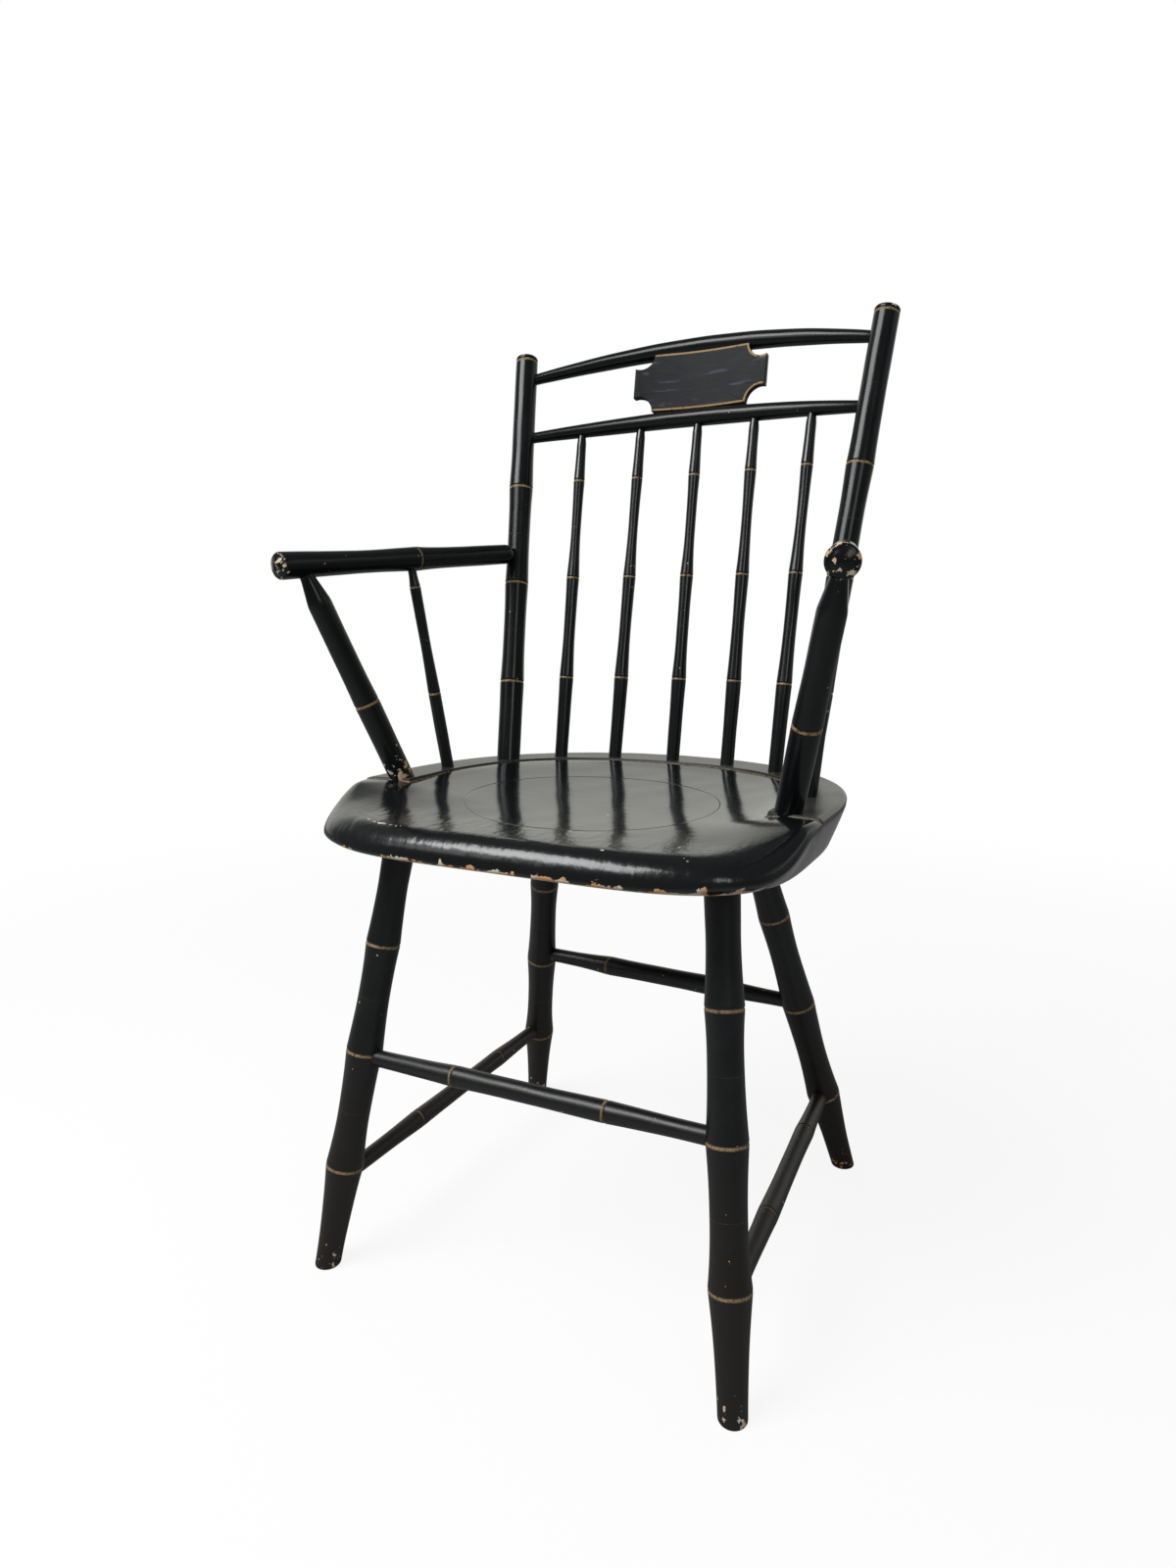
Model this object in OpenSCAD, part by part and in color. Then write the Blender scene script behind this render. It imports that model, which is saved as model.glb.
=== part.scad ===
// Windsor armchair with bamboo turnings: a plank seat, four turned legs with a box of stretchers,
// two back posts joined by two bowed rails, a tablet between the rails, five back spindles, and two
// arms that each stand on an arm post and one arm spindle.
// The chair faces -Y, +Z is up, and left means the -X side. The floor is z = 0.

/* [Seat] */
// Height of the spindle deck, the flat rim of the seat that carries the back
seat_height = 445; // [400:1:480]
// Thickness of the seat plank at the deck
seat_t = 44; // [36:0.5:52]
// Width of the seat at its widest line
seat_w = 443; // [430:1:500]
// From the widest line back to the rear edge
seat_rear = 237; // [225:1:265]
// From the widest line forward to the front edge
seat_front = 168.5; // [160:0.5:190]
// Place of the widest line along Y
seat_mid_y = -57.5; // [-70:0.5:-40]
// Squareness of the front outline, where 2 is an ellipse
front_square = 3.9; // [2.6:0.1:4.5]
// Squareness of the rear edge, where 2 is an ellipse
rear_square = 2.05; // [1.9:0.05:2.6]
// Squareness of the sides behind the widest line, where 2 is an ellipse
side_square = 2.5; // [1.9:0.05:2.8]
// How far the sides slope in from the widest height down to the underside
under_slope = 12; // [6:0.5:20]
// How far the front edge slopes in from the widest height down to the underside
under_front = 14; // [4:0.5:18]
// Drop from the deck to the saddle at the gutter
gutter_drop = 2; // [1:0.5:4]
// Depth of the saddle's lowest line below the deck
saddle_depth = 16.5; // [10:0.5:18]
// How far that lowest line lies to the right of the middle
saddle_shift = 30; // [0:5:40]
// Width of the rolled front edge
roll_w = 22; // [16:1:28]
// Width of the flat deck on the saddle side of the spindle line
gutter_inset = 15; // [14:0.5:20]
// From the side edge of the seat to the spindle line
deck_side = 31; // [24:0.5:34]
// From the rear edge of the seat to the spindle line
deck_rear = 40.5; // [28:0.5:44]

/* [Legs] */
// From the side of the seat in to a front leg's socket
front_leg_side = 68; // [55:0.5:80]
// From the front edge of the seat back to a front leg's socket
front_leg_back = 92; // [80:0.5:110]
// How far a front foot stands outside its socket
front_splay_x = 45; // [30:0.5:60]
// How far a front foot stands ahead of its socket
front_splay_y = 75.5; // [55:0.5:90]
// From the side of the seat in to a rear leg's socket
rear_leg_side = 110; // [95:0.5:120]
// From the rear edge of the seat forward to a rear leg's socket
rear_leg_fore = 118; // [100:0.5:130]
// How far a rear foot stands outside its socket
rear_splay_x = 84; // [65:0.5:100]
// How far a rear foot stands behind its socket
rear_splay_y = 116; // [95:0.5:135]
// Radius of a leg where it enters the seat
leg_top_r = 14.3; // [12.5:0.1:15.5]
// Radius of a leg at its foot
leg_foot_r = 11.6; // [10:0.1:14]
// Height of the lowest ring on every leg
ring_low_z = 94.5; // [85:0.5:105]
// Height of the middle ring on every leg
ring_mid_z = 202.5; // [190:0.5:215]
// Height of the top ring on every leg
ring_top_z = 302; // [285:1:315]
// Depth of a leg socket in the seat
leg_socket = 21; // [16:1:24]

/* [Stretchers] */
// Height of the front stretcher
stretcher_front_z = 200.5; // [180:0.5:215]
// Height of the rear stretcher
stretcher_rear_z = 206; // [180:0.5:215]
// Height of the side stretchers at the front legs
stretcher_side_front_z = 85; // [78:0.5:110]
// Height of the side stretchers at the rear legs
stretcher_side_rear_z = 97.5; // [75:0.5:105]
// How far each end of the front and rear stretchers stands off level
cross_uneven = 3; // [0:0.5:4]
// How far each end of the side stretchers stands off its mean height
side_uneven = 2; // [0:0.5:4]
// Radius of a stretcher's tenons
stretcher_end_r = 7.7; // [6.5:0.1:8.6]
// Radius at the rings of the front and side stretchers
stretcher_ring_r = 9.4; // [8.8:0.1:11]
// Radius at the rings of the rear stretcher
rear_ring_r = 10.5; // [8.8:0.1:12]

/* [Back] */
// From the side of the seat in to the posts, at the deck
post_side = 58.5; // [50:0.5:68]
// Backward lean of the back, in degrees
back_lean = 13.9; // [8:0.1:16]
// Outward lean of each post, in degrees
post_splay = 4.5; // [2:0.1:6]
// Length of a post above the deck
post_l = 455; // [445:1:480]
// Radius of a post where it enters the seat
post_base_r = 12.4; // [11:0.1:13.5]
// Height of the lower rail on the posts, along the post
lower_rail_s = 359.5; // [345:0.5:370]
// Height of the upper rail on the posts, along the post
upper_rail_s = 426; // [418:1:435]
// How far the rails bow backward at the middle
rail_bow = 47; // [20:1:55]
// Rise of the lower rail at its middle
lower_rise = 15; // [0:0.5:20]
// Rise of the upper rail at its middle
upper_rise = 26.5; // [15:0.5:32]
// Radius of a rail's tenons
rail_end_r = 5.7; // [4:0.1:5.8]
// Radius of the lower rail at its middle
lower_mid_r = 9.1; // [7.6:0.1:9.5]
// Radius of the upper rail at its middle
upper_mid_r = 9.4; // [7.6:0.1:10]
// Spacing of the back spindles at the deck
spindle_pitch = 61.5; // [52:0.5:66]
// Spacing of the back spindles at the lower rail
spindle_top_pitch = 64.5; // [58:0.5:68]
// Radius of a spindle where it enters the seat
spindle_base_r = 7; // [6:0.1:7.6]
// Radius of the tenon at a spindle's top
spindle_tenon_r = 3.9; // [3:0.1:4.4]

/* [Tablet] */
// Width of the tablet
tablet_w = 148; // [120:1:170]
// Thickness of the tablet
tablet_t = 8; // [6:0.5:9]
// Radius of the scooped corners
tablet_scoop = 15.5; // [10:0.5:18]
// From each end of the tablet in to the centres of its scoops
scoop_in = 5.5; // [0:0.5:8]
// From the lower rail's axis up to the lower edge between the scoops
tablet_low = 9.5; // [8:0.5:12]
// From the upper rail's axis down to the top edge
tablet_high = 6; // [3:0.5:8]
// From the lower rail's axis forward to the face of the tablet
face_low = 4; // [3:0.5:5]
// From the upper rail's axis forward to the face of the tablet
face_high = 7; // [5:0.5:8]

/* [Arms] */
// Height of the left arm at the post, along the post
arm_s = 229; // [205:0.5:240]
// How far the front end of the arm stands outside the side of the seat
arm_out = 24; // [5:0.5:38]
// From the front edge of the seat back to the front end of the arm
arm_back = 46.5; // [30:0.5:65]
// Height of the left arm's axis at its front end above the deck
arm_rise = 195.5; // [175:0.5:215]
// How much lower the right arm stands than the left
arm_uneven = 9; // [0:0.5:12]
// Radius of the arm at its front end
arm_front_r = 12.2; // [11:0.1:14]
// Radius of the arm's tenon in the post
arm_tenon_r = 7; // [5.5:0.1:8]
// Arm post along Y, at the deck
arm_post_y = -84; // [-95:0.5:-60]
// Radius of an arm post where it enters the seat
arm_post_base_r = 11.5; // [11:0.1:13.5]
// Radius of the tenon at an arm post's top
arm_post_tenon_r = 6.5; // [5:0.1:7.5]
// From the front end of the arm to the arm post
arm_post_s = 27; // [22:0.5:40]
// Arm spindle along Y, at the deck
arm_spindle_y = -10.5; // [-20:0.5:10]
// From the front end of the arm to the arm spindle
arm_spindle_s = 153.5; // [135:0.5:165]

/* [Joinery] */
// Radial clearance of every tenon in its socket
fit_gap = 0.1; // [0.05:0.05:0.2]
// Space past the end of every tenon
end_gap = 0.5; // [0.3:0.1:1]
// Depth of the sockets in the deck
deck_socket = 26; // [20:1:30]
// How far a tenon reaches past the axis of the piece that holds it
past_axis = 3; // [2:0.5:4]
// Width of the incised rings
groove_w = 2.4; // [1.6:0.1:3]
// Depth of the incised rings
groove_d = 0.6; // [0.3:0.1:1]

/* [Hidden] */

paint = [0.09, 0.11, 0.12];
tablet_paint = [0.16, 0.17, 0.19];
$fn = 48;

// Turnings, from the bottom up: rings swell, and the stretches between them are waisted.
// A waist share is its place between the two points next to it
leg_ring_r = [17.3, 16.8, 15.8];
leg_waist_r = [14.6, 14.3, 13.6];
leg_waist_share = [0.45, 0.63, 0.55];
stretcher_ring_share = 0.29;
stretcher_mid_r = 8.7;
rear_mid_r = 9.8;
side_ring_shift = 10;
leg_clear = 2;
post_ring_s = [85, 195, 303, 449];
post_ring_r = [12.9, 12.8, 13.1, 12.1];
post_waist_r = [11.9, 11.9, 12.2];
post_waist_share = [0.5, 0.5, 0.34];
post_crown = [[0.2, 3], [1.6, 1], [4, 0]];
spindle_ring_s = [88, 199, 307];
spindle_ring_r = [7.8, 7.1, 6.2];
spindle_waist_r = [6.4, 5.3];
spindle_neck_r = 5.2;
neck_l = 7;
arm_nose = [[6, 0], [2.6, 1], [0.7, 3], [0, 6]];
arm_nose_l = 8;
arm_waist_s = 88;
arm_waist_r = 10.6;
arm_ring_s = 161;
arm_ring_r = 11.9;
arm_rear_s = 206;
arm_rear_r = 10.4;
arm_post_ring_s = 79;
arm_post_ring_r = 11.9;
arm_post_waist_s = 124;
arm_post_waist_r = 11;
arm_post_cone_l = 24;
arm_post_shoulder_r = 10.9;
arm_spindle_base_r = 6.2;
arm_spindle_ring_s = [77, 184];
arm_spindle_ring_r = [6.3, 5.6];
arm_spindle_waist_r = 5.2;
bead_steps = 6;
groove_floor = 0.33;

// Vector and number helpers
function unit(v) = v / norm(v);
function mix(a, b, t) = a + (b - a) * t;
function flip(p, side) = [p.x * side, p.y, p.z];
function signed_power(v, p) = sign(v) * pow(abs(v), p);
function ramp(v, a, b) = let(t = max(0, min(1, (v - a) / (b - a)))) t * t * (3 - 2 * t);

// Edges of the seat
seat_side = seat_w / 2;
seat_front_y = seat_mid_y - seat_front;
seat_rear_y = seat_mid_y + seat_rear;

// The spindle line: it follows the seat edge at an inset and runs straight past the widest line
deck_a = seat_side - deck_side;
deck_b = seat_rear - deck_rear;
deck_square = 2.5;
function deck_y(x) =
    seat_mid_y + deck_b * pow(1 - pow(min(1, abs(x) / deck_a), deck_square), 1 / deck_square);
function deck_x(y) = y < seat_mid_y ? deck_a
    : deck_a * pow(1 - pow(min(1, (y - seat_mid_y) / deck_b), deck_square), 1 / deck_square);

seat_bottom = seat_height - seat_t;

// Legs: each axis runs from the foot on the floor to the socket in the underside
front_head = [seat_side - front_leg_side, seat_front_y + front_leg_back, seat_bottom];
rear_head = [seat_side - rear_leg_side, seat_rear_y - rear_leg_fore, seat_bottom];
function leg_head(front) = front ? front_head : rear_head;
function leg_foot(front) = leg_head(front)
    + (front ? [front_splay_x, -front_splay_y, -seat_bottom] : [rear_splay_x, rear_splay_y, -seat_bottom]);
function leg_dir(front) = unit(leg_head(front) - leg_foot(front));
function leg_at(front, z) = leg_foot(front) + leg_dir(front) * z / leg_dir(front).z;

// Back posts
post_dir = unit([tan(post_splay), tan(back_lean), 1]);
post_x = seat_side - post_side;
post_foot = [post_x, deck_y(post_x), seat_height];
function post_at(s) = post_foot + post_dir * s;

// Rails: parabolas in plan and in rise between the post axes, with straight ends
lower_end = post_at(lower_rail_s);
upper_end = post_at(upper_rail_s);
rail_straight = 14;
rail_sides = 24;
rail_steps = 28;
function rail_at(end, rise, x) =
    let(k = 1 - pow(x / end.x, 2)) [x, end.y + rail_bow * k, end.z + rise * k];
function rail_r(end, mid_r, x) =
    let(k = max(0, 1 - pow(x / (end.x - rail_straight), 2))) mix(rail_end_r, mid_r, k);
function rail_end_dir(end, rise, side) =
    unit(rail_at(end, rise, side * (end.x - rail_straight)) - flip(end, side));

// Back spindles: their deck sockets are bored by hand, so not quite at an even pitch
spindle_spots = [-2, -1, 0, 1, 2];
spindle_shift_x = [2, -4, 1, 3, 0];
function spindle_foot(i) = let(x = i * spindle_pitch + spindle_shift_x[i + 2])
    [x, deck_y(x), seat_height];
function spindle_head(i) = rail_at(lower_end, lower_rise, i * spindle_top_pitch);

// Arms
function arm_low(side) = side > 0 ? arm_uneven : 0;
function arm_front(side) = [side * (seat_side + arm_out), seat_front_y + arm_back,
    seat_height + arm_rise - arm_low(side)];
function arm_rear(side) = flip(post_at(arm_s - arm_low(side)), side);
function arm_dir(side) = unit(arm_rear(side) - arm_front(side));
function arm_l(side) = norm(arm_rear(side) - arm_front(side));
function arm_at(s, side) = arm_front(side) + arm_dir(side) * s;
function arm_post_foot(side) = flip([deck_x(arm_post_y), arm_post_y, seat_height], side);
function arm_spindle_foot(side) = flip([deck_x(arm_spindle_y), arm_spindle_y, seat_height], side);

// Points of a bamboo profile between control points [s, r, ring], where ring is 1 at an incised
// ring and 0 at a waist: each stretch is a parabola that lies level at the waist
function stretch(a, b) = [for (i = [1 : bead_steps - 1])
    let(u = i / bead_steps, k = a[2] > b[2] ? pow(1 - u, 2) : a[2] < b[2] ? 1 - pow(u, 2) : 1 - u)
    [mix(b[1], a[1], k), mix(a[0], b[0], u)]];
function ring_cut(p) = p[2] == 0 ? [[p[1], p[0]]]
    : [[p[1], p[0] - groove_w / 2], [p[1] - groove_d, p[0] - groove_w / 2 * groove_floor],
        [p[1] - groove_d, p[0] + groove_w / 2 * groove_floor], [p[1], p[0] + groove_w / 2]];
function bamboo(c) = [for (i = [0 : len(c) - 1]) each concat(ring_cut(c[i]),
    i < len(c) - 1 ? stretch(c[i], c[i + 1]) : [])];

// Places children with their +Z along dir and their origin at p, tipped over without a twist
module along(p, dir) {
    turn = atan2(dir.y, dir.x);
    translate(p) rotate([0, acos(dir.z / norm(dir)), turn]) rotate(-turn) children();
}

// A turned piece: the profile lists [radius, height] from the bottom up
module turned(profile) {
    rotate_extrude()
        polygon(concat([[0, profile[0].y]], profile, [[0, profile[len(profile) - 1].y]]));
}

// A seat socket of radius r that opens at p and runs against dir for depth, with room past the tenon
module socket(p, dir, r, depth) {
    along(p, dir) translate([0, 0, -depth - end_gap])
        cylinder(r = r + fit_gap, h = 2 * depth);
}

// A bore of radius r that starts a little past the axis point p and runs out along dir
bore_l = 30;
module bore(p, dir, r) {
    along(p - unit(dir) * (past_axis + end_gap), dir)
        cylinder(r = r + fit_gap, h = bore_l);
}

// The seat outline at angle a, drawn in by inset
function seat_edge(a, inset) =
    let(rear = sin(a) > 0,
        x = seat_side * signed_power(cos(a), 2 / (rear ? rear_square : front_square)),
        y = (rear ? seat_rear : seat_front)
            * signed_power(sin(a), 2 / (rear ? side_square : front_square)),
        k = 1 - inset / norm([x, y])) [x * k, y * k];

// Height of the seat top at a place relative to the widest line: the deck is flat, and inside the
// gutter the saddle is a bowl that rises toward the sides and the rear and runs level to the front
gutter_bank = 0.03;
corner_bank = 4;
low_y = -52.5;
side_power = 2.6;
rear_power = 1.85;
level_from = 34;
level_to = 118;
arm_gutter_y = arm_post_y - gutter_inset - seat_mid_y;
function saddle_mask(x, y) =
    let(r = pow(pow(abs(x) / (deck_a - gutter_inset), deck_square)
            + pow(max(0, y) / (deck_b - gutter_inset), deck_square), 1 / deck_square))
    max(ramp(-r, -1 - gutter_bank, -1 + gutter_bank),
        ramp(-y, -arm_gutter_y - corner_bank, -arm_gutter_y + corner_bank));
function seat_top(x, y) =
    let(across = (x - saddle_shift * (1 - pow(x / deck_a, 2))) / deck_a,
        back = max(0, y - low_y) / (deck_b - gutter_inset - low_y),
        rise = pow(abs(across), side_power) * (1 - ramp(-y, level_from, level_to)) + pow(back, rear_power))
    seat_height - saddle_mask(x, y)
        * (gutter_drop + (saddle_depth - gutter_drop) * max(0, 1 - rise));

// The rolled front edge: how far it has taken over from the deck's edge at an angle, and how far the
// top has fallen at an inset, as a quarter of an ellipse
roll_start = 42;
roll_full = 140;
roll_foot = 0.18;
roll_h = (1 - roll_foot) * (seat_height - saddle_depth - seat_bottom);
function roll_share(a) = ramp(-seat_edge(a, 0).y, roll_start, roll_full);
function roll_fall(inset) = roll_h * (1 - sqrt(1 - pow(1 - min(1, inset / roll_w), 2)));

// Rings of the seat skin, from the underside out round the edge and in over the top.
// An edge ring has [inset, share of the height at the deck's edge, share at the rolled edge]
seat_sides = 96;
edge_belly = 0.74;
under_curve = 1.4;
seat_edge_rings = [[4, 0, 0], [1, 0.1, 0.05], [0, 0.4, roll_foot], [0, edge_belly, 0.26],
    [0.5, 0.86, 0.36], [1.8, 0.94, 0.51], [4.2, 0.985, 0.66]];
seat_top_rings = [9, 15, 21, 28, 35, 42, 52, 70, 95, 125];
function edge_ring(r) = [for (i = [0 : seat_sides - 1])
    let(a = 360 * (i + 0.5) / seat_sides,
        slope = mix(under_slope, under_front, pow(max(0, -sin(a)), 2))
            * pow(max(0, 1 - r[1] / edge_belly), under_curve),
        p = seat_edge(a, r[0] + slope),
        q = seat_edge(a, seat_top_rings[0]))
    [p.x, p.y + seat_mid_y, mix(seat_bottom, seat_top(q.x, q.y), mix(r[1], r[2], roll_share(a)))]];
function top_ring(inset) = [for (i = [0 : seat_sides - 1])
    let(a = 360 * (i + 0.5) / seat_sides, p = seat_edge(a, inset))
    [p.x, p.y + seat_mid_y, seat_top(p.x, p.y) - roll_share(a) * roll_fall(inset)]];
module seat_plank() {
    rings = concat([for (r = seat_edge_rings) edge_ring(r)],
        [for (inset = seat_top_rings) top_ring(inset)]);
    n = seat_sides;
    m = len(rings);
    points = concat([for (r = rings) each r],
        [[0, seat_mid_y, seat_bottom], [0, seat_mid_y, seat_top(0, 0)]]);
    faces = concat(
        [for (i = [0 : n - 1]) [m * n, i, (i + 1) % n]],
        [for (j = [0 : m - 2], i = [0 : n - 1]) each [
            [j * n + i, (j + 1) * n + i, (j + 1) * n + (i + 1) % n],
            [j * n + i, (j + 1) * n + (i + 1) % n, j * n + (i + 1) % n]]],
        [for (i = [0 : n - 1]) [m * n + 1, (m - 1) * n + (i + 1) % n, (m - 1) * n + i]]);
    polyhedron(points, faces);
}

module seat() {
    color(paint) difference() {
        seat_plank();
        for (side = [-1, 1]) {
            for (front = [true, false])
                socket(flip(leg_head(front), side), -flip(leg_dir(front), side), leg_top_r,
                    leg_socket);
            socket(flip(post_foot, side), flip(post_dir, side), post_base_r, deck_socket);
            socket(arm_post_foot(side), arm_at(arm_post_s, side) - arm_post_foot(side),
                arm_post_base_r, deck_socket);
            socket(arm_spindle_foot(side), arm_at(arm_spindle_s, side) - arm_spindle_foot(side),
                arm_spindle_base_r, deck_socket);
        }
        for (i = spindle_spots)
            socket(spindle_foot(i), spindle_head(i) - spindle_foot(i), spindle_base_r, deck_socket);
    }
}

// A leg: its tenon fills the socket and its foot is cut level with the floor
module leg(side, front) {
    foot = flip(leg_foot(front), side);
    l = norm(leg_head(front) - leg_foot(front));
    s = [ring_low_z, ring_mid_z, ring_top_z] * l / seat_bottom;
    w = leg_waist_share;
    color(paint) difference() {
        along(foot, flip(leg_dir(front), side)) turned(bamboo([
            [-leg_foot_r, leg_foot_r, 0],
            [s[0], leg_ring_r[0], 1],
            [mix(s[0], s[1], w[0]), leg_waist_r[0], 0],
            [s[1], leg_ring_r[1], 1],
            [mix(s[1], s[2], w[1]), leg_waist_r[1], 0],
            [s[2], leg_ring_r[2], 1],
            [mix(s[2], l, w[2]), leg_waist_r[2], 0],
            [l - leg_top_r, leg_top_r, 0],
            [l + leg_socket, leg_top_r, 0]]));
        translate([foot.x, foot.y, -2 * leg_foot_r]) cube(4 * leg_foot_r, center = true);
        bore(cross_end(front, side), cross_end(front, -side) - cross_end(front, side),
            stretcher_end_r);
        bore(side_end(front, side), side_end(!front, side) - side_end(front, side),
            stretcher_end_r);
    }
}

// Ends of the stretchers on the leg axes. Toward the right the front stretcher rises and the rear
// one falls, and the side ones are flatter at the right than at the left
function cross_end(front, side) = flip(leg_at(front, front ? stretcher_front_z + side * cross_uneven
    : stretcher_rear_z - side * cross_uneven), side);
function side_end(front, side) = flip(leg_at(front, front
    ? stretcher_side_front_z + side * side_uneven
    : stretcher_side_rear_z - side * side_uneven), side);

// A stretcher between two points on the leg axes, with two rings
module stretcher(a, b, ring_r, mid_r, shift) {
    l = norm(b - a);
    near = leg_ring_r[0] + leg_clear;
    color(paint) along(a, b - a) turned(bamboo([
        [-past_axis, stretcher_end_r, 0],
        [near, stretcher_end_r, 0],
        [l * stretcher_ring_share + shift, ring_r, 1],
        [l / 2 + shift, mid_r, 0],
        [l * (1 - stretcher_ring_share) + shift, ring_r, 1],
        [l - near, stretcher_end_r, 0],
        [l + past_axis, stretcher_end_r, 0]]));
}
module stretcher_cross(front, ring_r, mid_r) {
    stretcher(cross_end(front, -1), cross_end(front, 1), ring_r, mid_r, 0);
}
module stretcher_side(side) {
    stretcher(side_end(true, side), side_end(false, side), stretcher_ring_r, stretcher_mid_r,
        side_ring_shift);
}

// A back post with sockets for both rails and the arm
module post(side) {
    s = post_ring_s;
    w = post_waist_share;
    color(paint) difference() {
        along(flip(post_foot, side), flip(post_dir, side)) turned(concat(
            bamboo([
                [-deck_socket, post_base_r, 0],
                [post_base_r, post_base_r, 0],
                [s[0], post_ring_r[0], 1],
                [mix(s[0], s[1], w[0]), post_waist_r[0], 0],
                [s[1], post_ring_r[1], 1],
                [mix(s[1], s[2], w[1]), post_waist_r[1], 0],
                [s[2], post_ring_r[2], 1],
                [mix(s[2], s[3], w[2]), post_waist_r[2], 0],
                [s[3], post_ring_r[3], 1]]),
            [for (p = post_crown) [post_ring_r[3] - p[0], post_l - p[1]]]));
        bore(flip(lower_end, side), rail_end_dir(lower_end, lower_rise, side), rail_end_r);
        bore(flip(upper_end, side), rail_end_dir(upper_end, upper_rise, side), rail_end_r);
        bore(arm_rear(side), -arm_dir(side), arm_tenon_r);
    }
}

// A rail swept as rings of points along its curve: the ends are straight tenons
function rail_path(end, rise) = concat(
    [flip(end, -1) - rail_end_dir(end, rise, -1) * past_axis],
    [for (i = [0 : rail_steps])
        rail_at(end, rise, (end.x - rail_straight) * (2 * i / rail_steps - 1))],
    [end - rail_end_dir(end, rise, 1) * past_axis]);
module rail_body(end, rise, mid_r) {
    path = rail_path(end, rise);
    m = len(path);
    n = rail_sides;
    points = [for (i = [0 : m - 1])
        let(t = unit(path[min(m - 1, i + 1)] - path[max(0, i - 1)]),
            v = unit(cross(t, [0, 0, 1])),
            w = cross(v, t),
            r = rail_r(end, mid_r, path[i].x))
        for (j = [0 : n - 1]) path[i] + r * (cos(360 * j / n) * v + sin(360 * j / n) * w)];
    faces = concat([[for (j = [0 : n - 1]) j]],
        [for (i = [0 : m - 2], j = [0 : n - 1]) each [
            [i * n + j, (i + 1) * n + j, (i + 1) * n + (j + 1) % n],
            [i * n + j, (i + 1) * n + (j + 1) % n, i * n + (j + 1) % n]]],
        [[for (j = [0 : n - 1]) (m - 1) * n + n - 1 - j]]);
    polyhedron(points, faces);
}

// The tablet is bent to the rails' bow. Its tongue stands in a slot in the lower rail and its top
// lies in a rabbet in the front of the upper rail. Heights in its frame start at the lower rail
tablet_foot = rail_at(lower_end, lower_rise, 0) - [0, face_low, 0];
tablet_head = rail_at(upper_end, upper_rise, 0) - [0, face_high, 0];
tablet_tilt = atan2(tablet_head.y - tablet_foot.y, tablet_head.z - tablet_foot.z);
tablet_top = norm(tablet_head - tablet_foot) - tablet_high;
tablet_neck = tablet_w - 2 * (scoop_in + tablet_scoop);
tongue_z = 4;
tablet_steps = 16;
module tablet_outline() {
    difference() {
        union() {
            translate([-tablet_w / 2, tablet_low]) square([tablet_w, tablet_top - tablet_low]);
            translate([-tablet_neck / 2, tongue_z]) square([tablet_neck, tablet_top - tongue_z]);
        }
        for (x = [-1, 1], z = [tablet_low, tablet_top])
            translate([x * (tablet_w / 2 - scoop_in), z]) circle(r = tablet_scoop);
    }
}
module tablet_plan() {
    span = (lower_end.x + upper_end.x) / 2;
    xs = [for (i = [-tablet_steps : tablet_steps]) i / tablet_steps * tablet_w / 2];
    front = [for (x = xs) [x, -rail_bow * pow(x / span, 2)]];
    back = [for (i = [len(xs) - 1 : -1 : 0]) front[i] + [0, tablet_t]];
    polygon(concat(front, back));
}
module tablet_board(gap) {
    translate(tablet_foot) rotate([-tablet_tilt, 0, 0]) intersection() {
        linear_extrude(2 * tablet_top) offset(delta = gap) tablet_plan();
        rotate([90, 0, 0]) linear_extrude(tablet_w, center = true)
            offset(delta = gap) tablet_outline();
    }
}

module rail_lower() {
    color(paint) difference() {
        rail_body(lower_end, lower_rise, lower_mid_r);
        for (i = spindle_spots)
            bore(spindle_head(i), spindle_foot(i) - spindle_head(i), spindle_tenon_r);
        tablet_board(fit_gap);
    }
}
module rail_upper() {
    color(paint) difference() {
        rail_body(upper_end, upper_rise, upper_mid_r);
        tablet_board(fit_gap);
    }
}
module tablet() {
    color(tablet_paint) tablet_board(0);
}

// A back spindle: its foot fills the deck socket and its slim tenon enters the lower rail
module spindle(i) {
    head = spindle_head(i);
    foot = spindle_foot(i);
    l = norm(head - foot);
    shoulder = l - rail_r(lower_end, lower_mid_r, head.x) - fit_gap;
    s = spindle_ring_s;
    color(paint) along(foot, head - foot) turned(bamboo([
        [-deck_socket, spindle_base_r, 0],
        [spindle_base_r, spindle_base_r, 0],
        [s[0], spindle_ring_r[0], 1],
        [mix(s[0], s[1], 0.5), spindle_waist_r[0], 0],
        [s[1], spindle_ring_r[1], 1],
        [mix(s[1], s[2], 0.5), spindle_waist_r[1], 0],
        [s[2], spindle_ring_r[2], 1],
        [shoulder - neck_l, spindle_neck_r, 0],
        [shoulder, spindle_tenon_r, 0],
        [l + past_axis, spindle_tenon_r, 0]]));
}

// An arm: a rounded front end, a ring near the arm spindle and a tenon in the post
module arm(side) {
    shoulder = arm_l(side) - post_ring_r[1] - fit_gap;
    color(paint) difference() {
        along(arm_front(side), arm_dir(side)) turned(concat(
            [for (p = arm_nose) [arm_front_r - p[0], p[1]]],
            bamboo([
                [arm_nose_l, arm_front_r, 0],
                [arm_waist_s, arm_waist_r, 0],
                [arm_ring_s, arm_ring_r, 1],
                [arm_rear_s, arm_rear_r, 0],
                [shoulder - neck_l, arm_rear_r, 0],
                [shoulder, arm_tenon_r, 0],
                [arm_l(side) + past_axis, arm_tenon_r, 0]])));
        bore(arm_at(arm_post_s, side), arm_post_foot(side) - arm_at(arm_post_s, side),
            arm_post_tenon_r);
        bore(arm_at(arm_spindle_s, side), arm_spindle_foot(side) - arm_at(arm_spindle_s, side),
            spindle_tenon_r);
    }
}

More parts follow.
